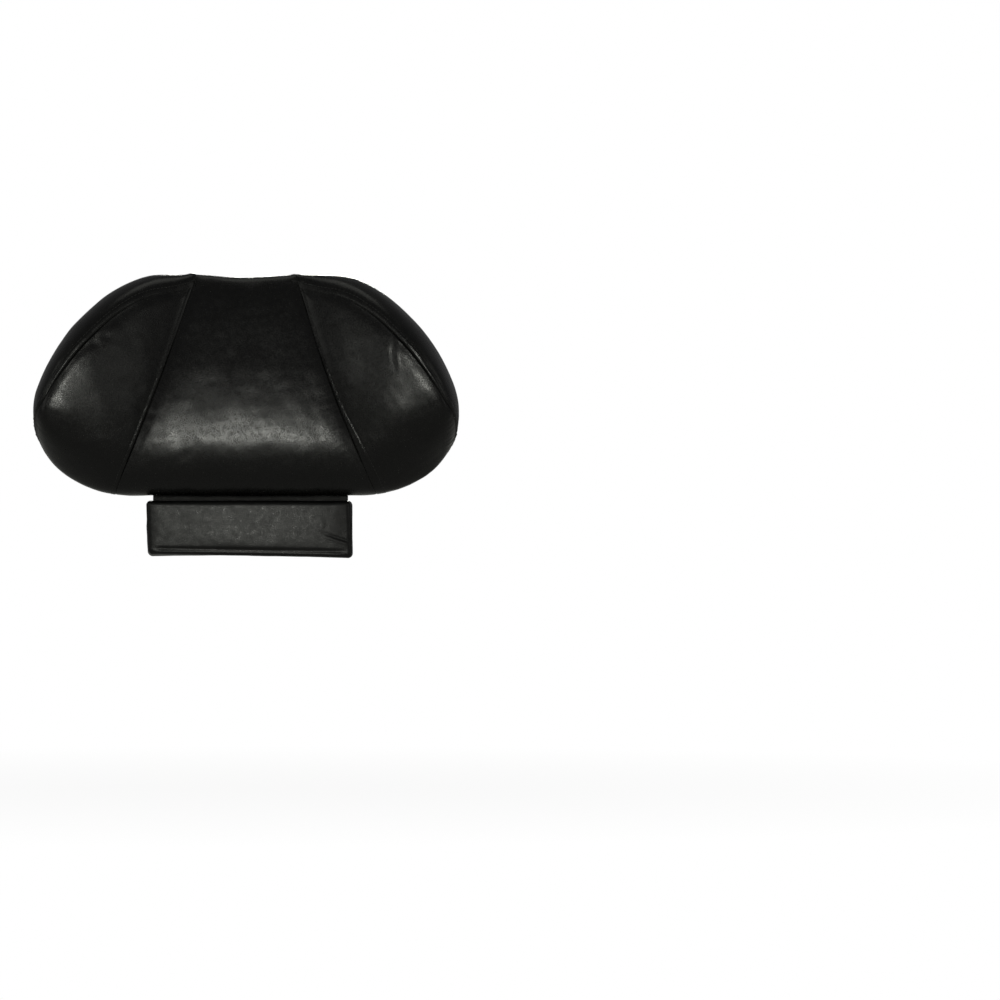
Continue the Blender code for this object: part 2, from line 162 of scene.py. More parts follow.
def bell(distance: Array, width: float) -> Array:
    """A bell curve of height 1 over a distance."""
    return np.exp(-((distance / width) ** 2))


def step(value: Array, low: float, high: float) -> Array:
    """A smooth step from 0 at low to 1 at high."""
    share = np.clip((value - low) / (high - low), 0.0, 1.0)
    return share * share * (3.0 - 2.0 * share)


def outward(heading: Array) -> Array:
    """Directions (x, height) of headings, in radians from straight up."""
    return np.stack([np.sin(heading), np.cos(heading)], axis=-1)


def get_points(shape: Shape) -> Array:
    """The places of a shape's points."""
    return np.array([vert.co for vert in shape.verts])


def set_points(shape: Shape, points: Array) -> None:
    """Move a shape's points to new places."""
    for vert, co in zip(shape.verts, points):
        vert.co = co


def close_rim(shape: Shape) -> None:
    """Close a shape's open rim with one face, and turn all faces outward."""
    rim = [edge for edge in shape.edges if edge.is_boundary]
    bmesh.ops.contextual_create(shape, geom=rim)
    bmesh.ops.recalc_face_normals(shape, faces=shape.faces)


def add_object(name: str, data: bpy.types.ID | None) -> bpy.types.Object:
    """Put an object with its data into the scene."""
    made = bpy.data.objects.new(name, data)
    bpy.context.scene.collection.objects.link(made)
    return made


class Ripples:
    """A smooth, seeded field of small waves in space, for the unevenness of hand upholstery."""

    def __init__(self, seed: int, wavelength: float, spread: float = 0.5, waves: int = 26) -> None:
        """Draw the waves.

        Args:
            seed: Seed of the draw.
            wavelength: Middle wavelength in metres.
            spread: Share by which wavelengths vary.
            waves: Number of waves.
        """
        draw = np.random.default_rng(seed)
        directions = unit(draw.normal(size=(waves, 3)))
        lengths = wavelength * (1.0 + spread * draw.uniform(-1.0, 1.0, waves))
        self.vectors = directions * (2 * np.pi / lengths)[:, None]
        self.phases = draw.uniform(0.0, 2 * np.pi, waves)
        self.scale = math.sqrt(2.0 / waves)

    def at(self, points: Array) -> Array:
        """Height of the field at points, mostly from -1 to 1."""
        flat = points.reshape(-1, 3)
        total = np.zeros(len(flat))
        for vector, phase in zip(self.vectors, self.phases):
            total += np.sin(flat @ vector + phase)
        return (total * self.scale * 0.7).reshape(points.shape[:-1])


def unevenness(points: Array, *waves: tuple[int, float, float]) -> Array:
    """Height of several fields of ripples, each given as its seed, wavelength and rise."""
    return sum(rise * Ripples(seed, wavelength).at(points) for seed, wavelength, rise in waves)


@dataclass
class Outline:
    """Half of the main pad's front outline, walked from the top centre round to the bottom centre.

    Heights are above the pad's bottom edge.
    """

    top_run: float = 0.0835
    radii: tuple[float, ...] = (0.076, 0.134, 0.196, 0.0745, 0.123)
    turns: tuple[float, ...] = (23.0, 15.0, 32.0, 80.0, 30.0)
    dip_depth: float = 0.0025
    dip_span: float = 0.060
    arcs: list[tuple[Array, float, float, float, float]] = field(init=False)
    height: float = field(init=False)
    length: float = field(init=False)
    widest: float = field(init=False)
    bottom_run: float = field(init=False)

    def __post_init__(self) -> None:
        """Chain the arcs."""
        self.arcs = []
        heading = 0.0
        length = self.top_run
        spot = np.array([self.top_run, 0.0])
        for radius, turn in zip(self.radii, self.turns):
            centre = spot - radius * np.array([math.sin(heading), math.cos(heading)])
            end = heading + math.radians(turn)
            self.arcs.append((centre, radius, heading, end, length))
            spot = centre + radius * np.array([math.sin(end), math.cos(end)])
            if heading <= math.pi / 2 <= end:
                self.widest = length + radius * (math.pi / 2 - heading)
            length += radius * (end - heading)
            heading = end
        self.height = -spot[1]
        self.bottom_run = spot[0]
        self.length = length + spot[0]

    def dip(self, x: Array) -> Array:
        """How far the top edge sags between its two horns."""
        inside = np.clip(np.abs(x) / self.dip_span, 0.0, 1.0)
        return self.dip_depth * np.cos(0.5 * np.pi * inside) ** 2

    def walk(self, lengths: Array) -> tuple[Array, Array]:
        """Points after walking lengths.

        Args:
            lengths: Walked lengths from the top centre.

        Returns:
            Points (x, height) and the outline's outward headings, in radians from straight up.
        """
        spots = np.stack([lengths, self.height - self.dip(lengths)], axis=-1)
        headings = np.zeros(lengths.shape)
        for centre, radius, start, end, begin in self.arcs:
            turn = np.minimum(start + (lengths - begin) / radius, end)
            arc = centre + radius * outward(turn)
            arc[..., 1] += self.height
            past = lengths >= begin
            spots = np.where(past[..., None], arc, spots)
            headings = np.where(past, turn, headings)
        past = lengths > self.length - self.bottom_run
        floor = np.stack([self.length - lengths, np.zeros(lengths.shape)], axis=-1)
        spots = np.where(past[..., None], floor, spots)
        return spots, np.where(past, math.pi, headings)

    def reach(self, height: Array) -> Array:
        """Half width of the outline at heights, and the greatest half width below the widest line."""
        spots, _ = self.walk(np.linspace(self.widest, self.top_run, 200))
        return np.interp(height, spots[:, 1], spots[:, 0])

    def edge(self, x: Array, height: Array) -> tuple[Array, Array, Array]:
        """Distance of inner points from the outline.

        Args:
            x: X of the points, of either sign.
            height: Heights of the points.

        Returns:
            Distances, headings and walked lengths of the nearest places on the outline.
        """
        x = np.abs(x)
        best = np.full(x.shape, self.height)
        heading = np.zeros(x.shape)
        length = np.zeros(x.shape)
        finds = [
            (x <= self.top_run, self.height - self.dip(x) - height, 0.0, x),
            (x <= self.bottom_run, height, math.pi, self.length - x),
        ]
        for centre, radius, start, end, begin in self.arcs:
            reach_x = x - centre[0]
            reach_z = height - self.height - centre[1]
            turn = np.arctan2(reach_x, reach_z)
            inside = (turn >= start) & (turn <= end)
            off = radius - np.hypot(reach_x, reach_z)
            finds.append((inside, off, turn, begin + radius * (turn - start)))
        for inside, off, turn, walked in finds:
            nearer = inside & (off < best)
            best = np.where(nearer, off, best)
            heading = np.where(nearer, turn, heading)
            length = np.where(nearer, walked, length)
        return np.maximum(best, 0.0), heading, length


@dataclass
class CushionForm:
    """The foam's surface under the main cover, as a grid of columns and rows.

    Columns run from the left wing's tip through the centre to the right wing's tip, and rows from the rear at
    the bottom round the front to the rear at the top. The panels' seams lie on the grid.
    """

    outline: Outline = field(default_factory=Outline)
    dart_limit: float = 0.9
    top_depth: float = 0.034
    lumbar_depth: float = 0.060
    lumbar_height: float = 0.058
    lean_power: float = 1.55
    wing_rise: float = 0.0175
    wing_crest: float = 0.196
    crest_inset: float = 0.016
    left_ramp: float = 1.34
    right_ramp: float = 1.26
    panel_fall: float = 0.0017
    panel_fall_reach: float = 0.25
    wing_lumbar_height: float = 0.100
    right_lumbar_lift: float = 0.014
    lumbar_climb: float = 0.6
    wing_lean_power: float = 2.5
    wing_fall: float = 0.090
    edge_line_depth: float = 0.027
    top_round: float = 0.026
    side_round: float = 0.017
    bottom_round: float = 0.058
    round_power: float = 2.2
    dart_top: float = 0.050
    dart_foot: float = 0.130
    dart_bow: float = 0.003
    right_bow: float = 0.0055
    seam_valley: float = 0.0012
    seam_valley_width: float = 0.006
    seam_valley_fade: float = 0.020
    gusset_start: float = 0.010
    gusset_end: float = 0.003
    gusset_swell: float = 0.0165
    gusset_fullness: float = 0.6
    tip_drop: float = 0.030
    tip_turn: float = 0.040
    tip_ease: float = 1.5
    gusset_slip: float = 0.024
    tip_share: float = 0.4
    least_lean: float = 0.4
    lean_softness: float = 0.1
    board_inset: float = 0.008
    hem: float = 0.020

    @property
    def tip(self) -> float:
        """Walked length of the wing's tip, where the gusset seam turns to the rear."""
        return self.outline.widest + self.tip_drop

    def crown(self, column: Array) -> Array:
        """Walked length at which columns (0 centre, 1 dart, 2 wing tip) meet the upper outline."""
        wing = self.dart_top + (self.tip - self.dart_top) * (column - 1.0)
        return np.where(column <= 1.0, self.dart_top * column, wing)

    def foot(self, column: Array) -> Array:
        """Walked length at which columns meet the lower outline."""
        end = self.outline.length
        wing = end - self.dart_foot + (self.tip + self.dart_foot - end) * (column - 1.0)
        return np.where(column <= 1.0, end - self.dart_foot * column, wing)

    def rounded(self, rest: Array) -> Array:
        """Rise of a rounded edge at shares of the way from its crest (rise 1) to its rim (rise 0)."""
        return (1.0 - rest**self.round_power) ** (1.0 / self.round_power)

    def gusset_inset(self, length: Array) -> Array:
        """How far inside the outline the gusset seam runs, at walked lengths."""
        share = np.clip((length - self.dart_top) / (self.outline.widest - self.dart_top), 0.0, 1.0)
        straight = self.gusset_start + (self.gusset_end - self.gusset_start) * share
        return straight + self.gusset_swell * np.sin(np.pi * share) ** self.gusset_fullness

    def chord_seam(self, low: Array, high: Array, heading: Array, crown: Array) -> Array:
        """Places of the gusset seam on the lines from the lower to the upper outline."""
        run = low - high
        along = unit(run)
        lean = np.maximum((-outward(heading) * along).sum(axis=-1), self.least_lean)
        wide = self.gusset_inset(crown) / lean
        narrow = np.maximum(self.tip_share * np.linalg.norm(run, axis=-1), TINY)
        return high + along * ((wide**-3 + narrow**-3) ** (-1 / 3))[..., None]

    def tip_seam(self, crown: Array) -> tuple[Array, Array]:
        """Places of the gusset seam where it rolls over the side to the wing's tip.

        Args:
            crown: Walked lengths of the columns.

        Returns:
            The places, and the share of the way from the start of the turn to the tip.
        """
        turn = np.array([self.outline.widest - self.tip_turn])
        column = 1.0 + (turn - self.dart_top) / (self.tip - self.dart_top)
        low, _ = self.outline.walk(self.foot(column))
        high, heading = self.outline.walk(turn)
        begin = self.chord_seam(low, high, heading, turn)
        inset, _, length = self.outline.edge(begin[:, 0], begin[:, 1])
        past = np.clip((crown - turn) / (self.tip - turn), 0.0, 1.0)
        rise = self.rounded(np.clip(1.0 - inset / self.side_round, 0.0, 1.0)) * (1.0 - past**self.tip_ease)
        inset = self.side_round * (1.0 - self.rounded(rise))
        places, heading = self.outline.walk(crown + (length - turn) * (1.0 - past))
        return places - inset[..., None] * outward(heading), past

    def bow(self, share: Array) -> Array:
        """How far a dart seam bows towards the middle, at shares of its way up."""
        return self.dart_bow * np.sin(np.pi * np.clip(share, 0.0, 1.0))

    def dart_x(self, height: Array) -> Array:
        """X of the dart seam at heights above the bottom."""
        (top, foot), _ = self.outline.walk(np.array([self.dart_top, self.outline.length - self.dart_foot]))
        climb = (height - foot[1]) / (top[1] - foot[1])
        return foot[0] + (top[0] - foot[0]) * climb - self.bow(climb)

    def face_depth(self, x: Array, height: Array, right: Array) -> Array:
        """Depth of the cushion's face before its edges round off."""
        crest = np.minimum(self.wing_crest, self.outline.reach(height) - self.crest_inset)
        start = np.minimum(self.dart_x(height), self.dart_limit * crest)
        share = np.clip((np.abs(x) - start) / (crest - start), 0.0, 1.0)
        wing_lumbar = self.wing_lumbar_height + np.where(right, self.right_lumbar_lift, 0.0)
        lumbar = self.lumbar_height + (wing_lumbar - self.lumbar_height) * share**self.lumbar_climb
        half = 0.5 * (self.lean_power + (self.wing_lean_power - self.lean_power) * share)
        soft = self.lean_softness**2
        climb = np.clip((height - lumbar) / (self.outline.height - lumbar), 0.0, 1.0)
        climb = ((climb**2 + soft) ** half - soft**half) / ((1.0 + soft) ** half - soft**half)
        depth = self.lumbar_depth - (self.lumbar_depth - self.top_depth) * climb
        depth = depth - np.sqrt(share) * np.maximum(lumbar - height, 0.0) ** 2 / (2.0 * self.wing_fall)
        inner = np.clip(np.abs(x) / start, 0.0, 1.0) ** 4
        beside = np.where(share > 0.0, bell(share, self.panel_fall_reach), inner)
        ramp = np.where(right, self.right_ramp, self.left_ramp)
        return depth + self.wing_rise * (1.0 - (1.0 - share) ** ramp) - self.panel_fall * beside

    def front_depth(self, x: Array, height: Array, right: Array) -> Array:
        """Depth of the foam's front, with its rounded edges and its seam valleys."""
        distance, heading, length = self.outline.edge(x, height)
        up = np.maximum(np.cos(heading), 0.0) ** 2
        down = np.maximum(-np.cos(heading), 0.0) ** 2
        width = self.side_round + (self.top_round - self.side_round) * up
        width = width + (self.bottom_round - self.side_round) * down
        rise = self.rounded(1.0 - np.minimum(distance / width, 1.0))
        depth = self.edge_line_depth + (self.face_depth(x, height, right) - self.edge_line_depth) * rise
        valley = bell(np.abs(x) - self.dart_x(height), self.seam_valley_width)
        off_seam = bell(distance - self.gusset_inset(length), self.seam_valley_width)
        fade = step(length, self.outline.widest - self.seam_valley_fade, self.tip)
        beside = (length > self.dart_top) & (length < self.tip)
        valley = np.where(beside, np.maximum(valley, off_seam * (1.0 - fade)), valley)
        return depth - self.seam_valley * rise * valley

    def edge_points(self, length: Array, share: Array, extra: Array) -> Array:
        """Points on the edge of the cushion, from its widest line (share 0) to the rear (share 1)."""
        spots, heading = self.outline.walk(length)
        inset = self.board_inset * share**2 + extra
        spots = spots - inset[..., None] * outward(heading)
        return np.stack([spots[..., 0], -self.edge_line_depth * (1.0 - share), spots[..., 1]], axis=-1)

    def points(self, columns: Array, section: Section, shares: Array) -> Array:
        """Points of the cushion's surface in one section.

        Args:
            columns: Signed columns, from -2 at the left wing's tip to 2 at the right one's.
            section: The section.
            shares: Shares of the way through the section.

        Returns:
            An array of rows, columns and coordinates.
        """
        index, share = np.meshgrid(np.abs(columns), shares)
        crown = self.crown(index)
        foot = self.foot(index)
        if section in (Section.FRONT, Section.GUSSET):
            right = np.broadcast_to(columns > 0.0, index.shape)
            spots = self.front_spots(index, crown, foot, section, share, right)
            depth = self.front_depth(spots[..., 0], spots[..., 1], right)
            found = np.stack([spots[..., 0], -depth, spots[..., 1]], axis=-1)
        else:
            extra = np.zeros(share.shape)
            if section in (Section.FOOT_HEM, Section.CROWN_HEM):
                extra = self.hem * share
                share = np.ones(share.shape)
            slip = self.gusset_slip * share * np.maximum(index - 1.0, 0.0)
            base = foot if section in (Section.FOOT_HEM, Section.FOOT_EDGE) else crown
            found = self.edge_points(base + slip, share, extra)
        found[..., 0] *= np.where(columns < 0.0, -1.0, 1.0)
        found[..., 2] -= BOLT_HEIGHT
        return found

    def front_spots(
        self, index: Array, crown: Array, foot: Array, section: Section, share: Array, right: Array
    ) -> Array:
        """Places (x, height) of the front's and the gusset's rows."""
        low, _ = self.outline.walk(foot)
        high, heading = self.outline.walk(crown)
        length = np.linalg.norm(low - high, axis=-1)
        turned, past = self.tip_seam(crown)
        seam = np.where(past[..., None] > 0.0, turned, self.chord_seam(low, high, heading, crown))
        if section is Section.FRONT:
            spots = low + (seam - low) * share[..., None]
        else:
            spots = seam + (high - seam) * share[..., None]
        climb = np.linalg.norm(spots - low, axis=-1) / np.maximum(length, TINY)
        near = np.where(index <= 1.0, index, 2.0 - index)
        spots[..., 0] -= near * self.bow(climb) * np.where(right, self.right_bow / self.dart_bow, 1.0)
        return spots


@dataclass
class SeamLine:
    """A seam as a line through space."""

    points: Array
    lengths: Array = field(init=False)

    def __post_init__(self) -> None:
        """Drop doubled points and measure the walked lengths."""
        hops = np.linalg.norm(np.diff(self.points, axis=0), axis=1)
        self.points = self.points[np.concatenate([[True], hops > 1e-6])]
        hops = np.linalg.norm(np.diff(self.points, axis=0), axis=1)
        self.lengths = np.concatenate([[0.0], np.cumsum(hops)])

    @property
    def length(self) -> float:
        """The seam's whole length."""
        return float(self.lengths[-1])

    def measure(self, points: Array, reach: float) -> tuple[Array, Array]:
        """Distance of points from the seam, and how far along it they lie.

        Args:
            points: Points in any array shape.
            reach: Distance past which points are of no interest.

        Returns:
            Distances, which are at least reach for far points, and walked lengths.
        """
        flat = points.reshape(-1, 3)
        low = self.points.min(axis=0) - reach
        high = self.points.max(axis=0) + reach
        near = np.flatnonzero(((flat > low) & (flat < high)).all(axis=1))
        distance = np.full(len(flat), reach * 4.0)
        along = np.zeros(len(flat))
        starts = self.points[:-1]
        runs = np.diff(self.points, axis=0)
        squares = (runs**2).sum(axis=1)
        for chunk in np.array_split(near, max(len(near) // 2000, 1)):
            gaps = flat[chunk, None, :] - starts[None, :, :]
            shares = np.clip((gaps * runs).sum(axis=2) / squares, 0.0, 1.0)
            offs = np.linalg.norm(gaps - shares[..., None] * runs, axis=2)
            best = offs.argmin(axis=1)
            pick = np.arange(len(chunk))
            distance[chunk] = offs[pick, best]
            along[chunk] = self.lengths[best] + shares[pick, best] * np.sqrt(squares[best])
        return distance.reshape(points.shape[:-1]), along.reshape(points.shape[:-1])


@dataclass(frozen=True)
class SeamStyle:
    """How a sewn seam stands in the vinyl.

    The two panels roll down into the seam, and on one side the folded allowance stands up as a low ridge that
    a row of topstitches holds down. Up to the end of drift_span the row lies farther out, by up to drift.
    Spill is the share of the puckers that crosses to the plain side.
    """

    roll: float = 1.5 * MM
    roll_depth: float = 1.25 * MM
    ridge: float = 0.55 * MM
    topstitch: float = 4.6 * MM
    drift: float = 0.0
    drift_span: tuple[float, float] = (0.0, 1.0)
    groove: float = 0.5 * MM
    groove_width: float = 0.55 * MM
    pitch: float = 3.8 * MM
    pucker: float = 0.14 * MM
    pucker_reach: float = 7.0 * MM
    spill: float = 0.6
    seed: int = 1

    def row(self, along: Array) -> Array:
        """Distance of the topstitched row from the seam at walked lengths."""
        return self.topstitch + self.drift * (1.0 - step(along, *self.drift_span))

    def plain_side(self, distance: Array, strength: Array) -> Array:
        """Height of the vinyl beside the seam on its plain side."""
        rest = np.clip(1.0 - distance / self.roll, 0.0, 1.0)
        depth = self.roll_depth * (0.1 + 0.9 * strength)
        return -depth * (1.0 - np.sqrt(np.maximum(1.0 - rest**2, 0.0)))

    def ridge_side(self, distance: Array, along: Array, strength: Array) -> Array:
        """Height of the vinyl on the side of the folded allowance.

        Args:
            distance: Distances from the seam.
            along: Walked lengths along it.
            strength: How strong the ridge and its puckers are there.

        Returns:
            Heights over the smooth surface.
        """
        row = self.row(along)
        rise = step(distance, 0.4 * self.roll, 1.3 * self.roll)
        fall = 1.0 - step(distance - row, -1.0 * MM, 0.2 * MM)
        ridge = self.ridge * rise * fall * strength
        pull = 0.75 + 0.25 * np.cos(2 * np.pi * along / self.pitch)
        groove = self.groove * bell(distance - row, self.groove_width) * pull * strength
        return self.plain_side(distance, strength) + ridge - groove

    def puckers(self, distance: Array, along: Array, strength: Array) -> Array:
        """Small gathers that run away from the row of stitches."""
        draw = np.random.default_rng(self.seed)
        total = np.zeros(distance.shape)
        for wave in range(5):
            wavelength = (5.0 + 2.6 * wave) * MM
            drift = draw.uniform(0.0, 2 * np.pi)
            wander = draw.uniform(0.6, 1.4)
            beat = 0.5 + 0.5 * np.sin(along / (0.021 + 0.006 * wave) + draw.uniform(0.0, 2 * np.pi))
            total += beat * np.sin(2 * np.pi * along / wavelength * wander + drift) / (1.0 + 0.4 * wave)
        fade = np.exp(-((np.abs(distance - self.row(along)) / self.pucker_reach) ** 1.3))
        return self.pucker * total * fade * strength * step(distance, 0.0, self.roll)


class Tree:
    """Adds and links the nodes of one node tree."""

    def __init__(self, tree: bpy.types.NodeTree) -> None:
        """Keep the tree and start at its left end."""
        self.tree = tree
        self.place = 0

    def add(self, kind: str, **settings: object) -> bpy.types.Node:
        """Add a node.

        Args:
            kind: The node's type, without its ShaderNode prefix.
            settings: Attributes of the node, and inputs given as values or as output sockets to link.

        Returns:
            The new node.
        """
        node = self.tree.nodes.new("ShaderNode" + kind)
        node.location = (self.place, 0)
        self.place += 180
        for name, value in settings.items():
            if hasattr(node, name):
                setattr(node, name, value)
            else:
                self.fill(node, **{name: value})
        return node

    def feed(self, socket: Socket, value: object) -> None:
        """Set an input to a value, or link an output to it."""
        if isinstance(value, Socket):
            self.tree.links.new(value, socket)
        else:
            socket.default_value = value

    def fill(self, node: bpy.types.Node, **inputs: object) -> None:
        """Set or link inputs of a node, whose names have underscores for spaces."""
        for name, value in inputs.items():
            self.feed(node.inputs[name.replace("_", " ")], value)

    def math(self, operation: str, *values: object, kind: str = "Math") -> Socket:
        """Add a Math or VectorMath node and return its first result."""
        node = self.add(kind, operation=operation)
        for socket, value in zip(node.inputs, values):
            self.feed(socket, value)
        return node.outputs[0]

    def remap(
        self, value: object, low: float, high: float, to_low: float = 0.0, to_high: float = 1.0
    ) -> Socket:
        """Map a range of values onto another, clamped."""
        node = self.add("MapRange", Value=value, From_Min=low, From_Max=high, To_Min=to_low, To_Max=to_high)
        return node.outputs["Result"]

    def blend(self, share: object, first: object, second: object) -> Socket:
        """Mix two colours, each given as a socket or as red, green and blue."""
        node = self.add("Mix", data_type="RGBA")
        self.feed(node.inputs[0], share)
        for number, colour in ((6, first), (7, second)):
            self.feed(node.inputs[number], (*colour, 1.0) if isinstance(colour, tuple) else colour)
        return node.outputs[2]


class NodeGroups:
    """The shader node groups that the finishes share, each made when it is first asked for."""

    _made: dict[str, bpy.types.NodeTree] = {}

    @classmethod
    def get(
        cls, name: str, inputs: dict[str, float], paint: Callable[..., dict[str, Socket]]
    ) -> bpy.types.NodeTree:
        """A group with float sockets.

        Args:
            name: The group's name.
            inputs: Names and default values of the inputs.
            paint: Adds the nodes, given the tree, the object's coordinates and the sockets of the inputs, and
                returns the outputs by their names.

        Returns:
            The group.
        """
        if name not in cls._made:
            group = bpy.data.node_groups.new(name, "ShaderNodeTree")
            for label, value in inputs.items():
                socket = group.interface.new_socket(label, in_out="INPUT", socket_type="NodeSocketFloat")
                socket.default_value = value
            tree = Tree(group)
            given = tree.add("TexCoord").outputs["Object"]
            results = paint(tree, given, group.nodes.new("NodeGroupInput").outputs)
            for label in results:
                group.interface.new_socket(label, in_out="OUTPUT", socket_type="NodeSocketFloat")
            tree.fill(group.nodes.new("NodeGroupOutput"), **results)
            cls._made[name] = group
        return cls._made[name]

    @classmethod
    def grain(cls) -> bpy.types.NodeTree:
        """Pebbled vinyl grain: pebbles with creases between them, and a wider mottle.

        Returns:
            A group with the inputs Pebble and Clump, both sizes in millimetres, Warp and Unevenness, and the
            outputs Height, Crease and Mottle.
        """

        def paint(tree: Tree, given: Socket, entry: object) -> dict[str, Socket]:
            """Warped cells with domed middles, a finer noise on them and a wide mottle."""
            scale = tree.math("DIVIDE", 1000.0, entry["Pebble"])
            wide = tree.math("DIVIDE", 1000.0, entry["Clump"])
            swirl = tree.add("TexNoise", Vector=given, Scale=scale, Detail=2.0, Roughness=0.6)
            shift = tree.math("SUBTRACT", swirl.outputs["Color"], (0.5, 0.5, 0.5), kind="VectorMath")
            sway = tree.add("VectorMath", operation="SCALE", Vector=shift)
            tree.fill(sway, Scale=tree.math("DIVIDE", entry["Warp"], scale))
            warped = tree.math("ADD", given, sway.outputs[0], kind="VectorMath")
            cells = tree.add("TexVoronoi", feature="DISTANCE_TO_EDGE", Vector=warped, Scale=scale)
            dome = tree.math("POWER", tree.remap(cells.outputs["Distance"], 0.0, 0.28), 0.6)
            fine = tree.add("TexNoise", Vector=given, Scale=tree.math("MULTIPLY", scale, 2.3), Detail=3.0)
            clumps = tree.add("TexNoise", Vector=given, Scale=wide, Detail=3.0, Roughness=0.65)
            mottle = clumps.outputs["Fac"]
            height = tree.math("MULTIPLY_ADD", fine.outputs["Fac"], 0.35, dome)
            height = tree.math("MULTIPLY_ADD", mottle, entry["Unevenness"], height)
            return {"Height": height, "Crease": tree.math("SUBTRACT", 1.0, dome), "Mottle": mottle}

        inputs = {"Pebble": 1.3, "Clump": 5.0, "Warp": 0.35, "Unevenness": 1.5}
        return cls.get("vinyl_grain", inputs, paint)

    @classmethod
    def specks(cls) -> bpy.types.NodeTree:
        """Small uneven specks, for foam pores, thread fuzz and the marks of use on steel.

        Returns:
            A group with the inputs Size, in millimetres, and Edge, and the outputs Height and Mask.
        """

        def paint(tree: Tree, given: Socket, entry: object) -> dict[str, Socket]:
            """Noise for the mask, and cells added to it for the height."""
            scale = tree.math("DIVIDE", 1000.0, entry["Size"])
            noise = tree.add("TexNoise", Vector=given, Scale=scale, Detail=4.0, Roughness=0.7).outputs["Fac"]
            cells = tree.add("TexVoronoi", Vector=given, Scale=scale).outputs["Distance"]
            mask = tree.math("GREATER_THAN", noise, entry["Edge"])
            return {"Height": tree.math("ADD", noise, cells), "Mask": mask}

        return cls.get("specks", {"Size": 1.0, "Edge": 0.5}, paint)


@dataclass
class Finish:
    """Base of the finishes: makes a material with a Principled shader when it is first asked for."""

    name: str
    _made: bpy.types.Material | None = field(default=None, init=False)

    def material(self) -> bpy.types.Material:
        """The finish's material, made once."""
        if self._made is None:
            self._made = bpy.data.materials.new(self.name)
            self._made.use_nodes = True
            nodes = self._made.node_tree
            self.paint(Tree(nodes), nodes.nodes["Principled BSDF"])
        return self._made

    def paint(self, tree: Tree, shader: bpy.types.Node) -> None:
        """Fill the material's tree."""
        raise NotImplementedError

    @staticmethod
    def relief(tree: Tree, shader: bpy.types.Node, height: object, distance: float, strength: float) -> None:
        """Feed a height through a Bump node to the shader's normal."""
        bump = tree.add("Bump", Height=height, Strength=strength, Distance=distance)
        tree.fill(shader, Normal=bump.outputs[0])


@dataclass
class VinylFinish(Finish):
    """Black pebbled upholstery vinyl.

    Its gloss is the roughness on the pebbles and in the creases, its pebbles are sized in millimetres, and
    its shine is the level of the specular reflection. The creases between the pebbles get painted shade.
    """

    colour: Colour
    gloss: tuple[float, float]
    pebble: float
    shine: float
    # Share of the colour kept in the creases: painted shade between the pebbles
    crease_shade: float = 0.45
    warm: float = 1.35

    def paint(self, tree: Tree, shader: bpy.types.Node) -> None:
        """Fill the material's tree."""
        grain = tree.add("Group", node_tree=NodeGroups.grain(), Pebble=self.pebble).outputs
        crease_shade, warm = (tuple(share * part for part in self.colour) for share in (self.crease_shade, self.warm))
        tone = tree.blend(tree.remap(grain["Mottle"], 0.3, 0.7), self.colour, warm)
        # Painted shade: the tone darkens in the creases between the pebbles
        tone = tree.blend(tree.remap(grain["Crease"], 0.4, 1.0), tone, crease_shade)
        rough = tree.remap(grain["Crease"], 0.0, 1.0, *self.gloss)
        rough = tree.math("ADD", rough, tree.remap(grain["Mottle"], 0.3, 0.7, -0.05, 0.05))
        tree.fill(shader, Base_Color=tone, Roughness=rough, Specular_IOR_Level=self.shine)
        self.relief(tree, shader, grain["Height"], 0.03 * MM, 1.0)


@dataclass
class SpeckFinish(Finish):
    """A speckled finish of two tones, such as thread, foam or worn steel.

    Specks are sized in millimetres, and the bump is given as its distance and strength.
    """

    size: float
    edge: float
    tones: tuple[Colour, Colour]
    gloss: tuple[float, float]
    bump: tuple[float, float]
    metallic: float = 0.0

    def paint(self, tree: Tree, shader: bpy.types.Node) -> None:
        """Fill the material's tree."""
        specks = tree.add("Group", node_tree=NodeGroups.specks(), Size=self.size, Edge=self.edge).outputs
        rough = tree.remap(specks["Height"], 0.3, 1.2, *self.gloss)
        tone = tree.blend(specks["Mask"], *self.tones)
        tree.fill(shader, Base_Color=tone, Roughness=rough, Metallic=self.metallic)
        self.relief(tree, shader, specks["Height"], *self.bump)


@dataclass
class PlywoodFinish(Finish):
    """Birch plywood: long grain on its faces and thin plies at its edges."""

    ply: float = 1.5 * MM

    @staticmethod
    def streaks(tree: Tree, given: object, scale: Colour, **settings: float) -> Socket:
        """Noise that is stretched along the grain."""
        stretch = tree.add("Mapping", Vector=given, Scale=scale).outputs[0]
        return tree.add("TexNoise", Vector=stretch, Scale=1.0, **settings).outputs["Fac"]

    def paint(self, tree: Tree, shader: bpy.types.Node) -> None:
        """Fill the material's tree."""
        given = tree.add("TexCoord").outputs["Object"]
        figure = self.streaks(tree, given, (9.0, 60.0, 160.0), Detail=5.0, Roughness=0.6, Distortion=0.8)
        lines = self.streaks(tree, given, (60.0, 300.0, 1500.0), Detail=3.0)
        tone = tree.blend(tree.remap(figure, 0.35, 0.65), (0.60, 0.42, 0.25), (0.47, 0.30, 0.16))
        tone = tree.blend(tree.remap(lines, 0.45, 0.75, 0.0, 0.6), tone, (0.36, 0.22, 0.12))
        depth = tree.add("SeparateXYZ", Vector=given).outputs["Y"]
        band = tree.math("FRACT", tree.math("DIVIDE", depth, 2.0 * self.ply))
        facing = tree.add("SeparateXYZ", Vector=tree.add("NewGeometry").outputs["True Normal"])
        edge = tree.math("LESS_THAN", tree.math("ABSOLUTE", facing.outputs["Y"]), 0.6)
        cross = tree.math("MULTIPLY", tree.math("GREATER_THAN", band, 0.5), edge)
        tone = tree.blend(tree.math("MULTIPLY", cross, 0.75), tone, (0.27, 0.15, 0.08))
        tree.fill(shader, Base_Color=tone, Roughness=tree.remap(lines, 0.3, 0.7, 0.58, 0.75))
        self.relief(tree, shader, lines, 0.12 * MM, 0.7)


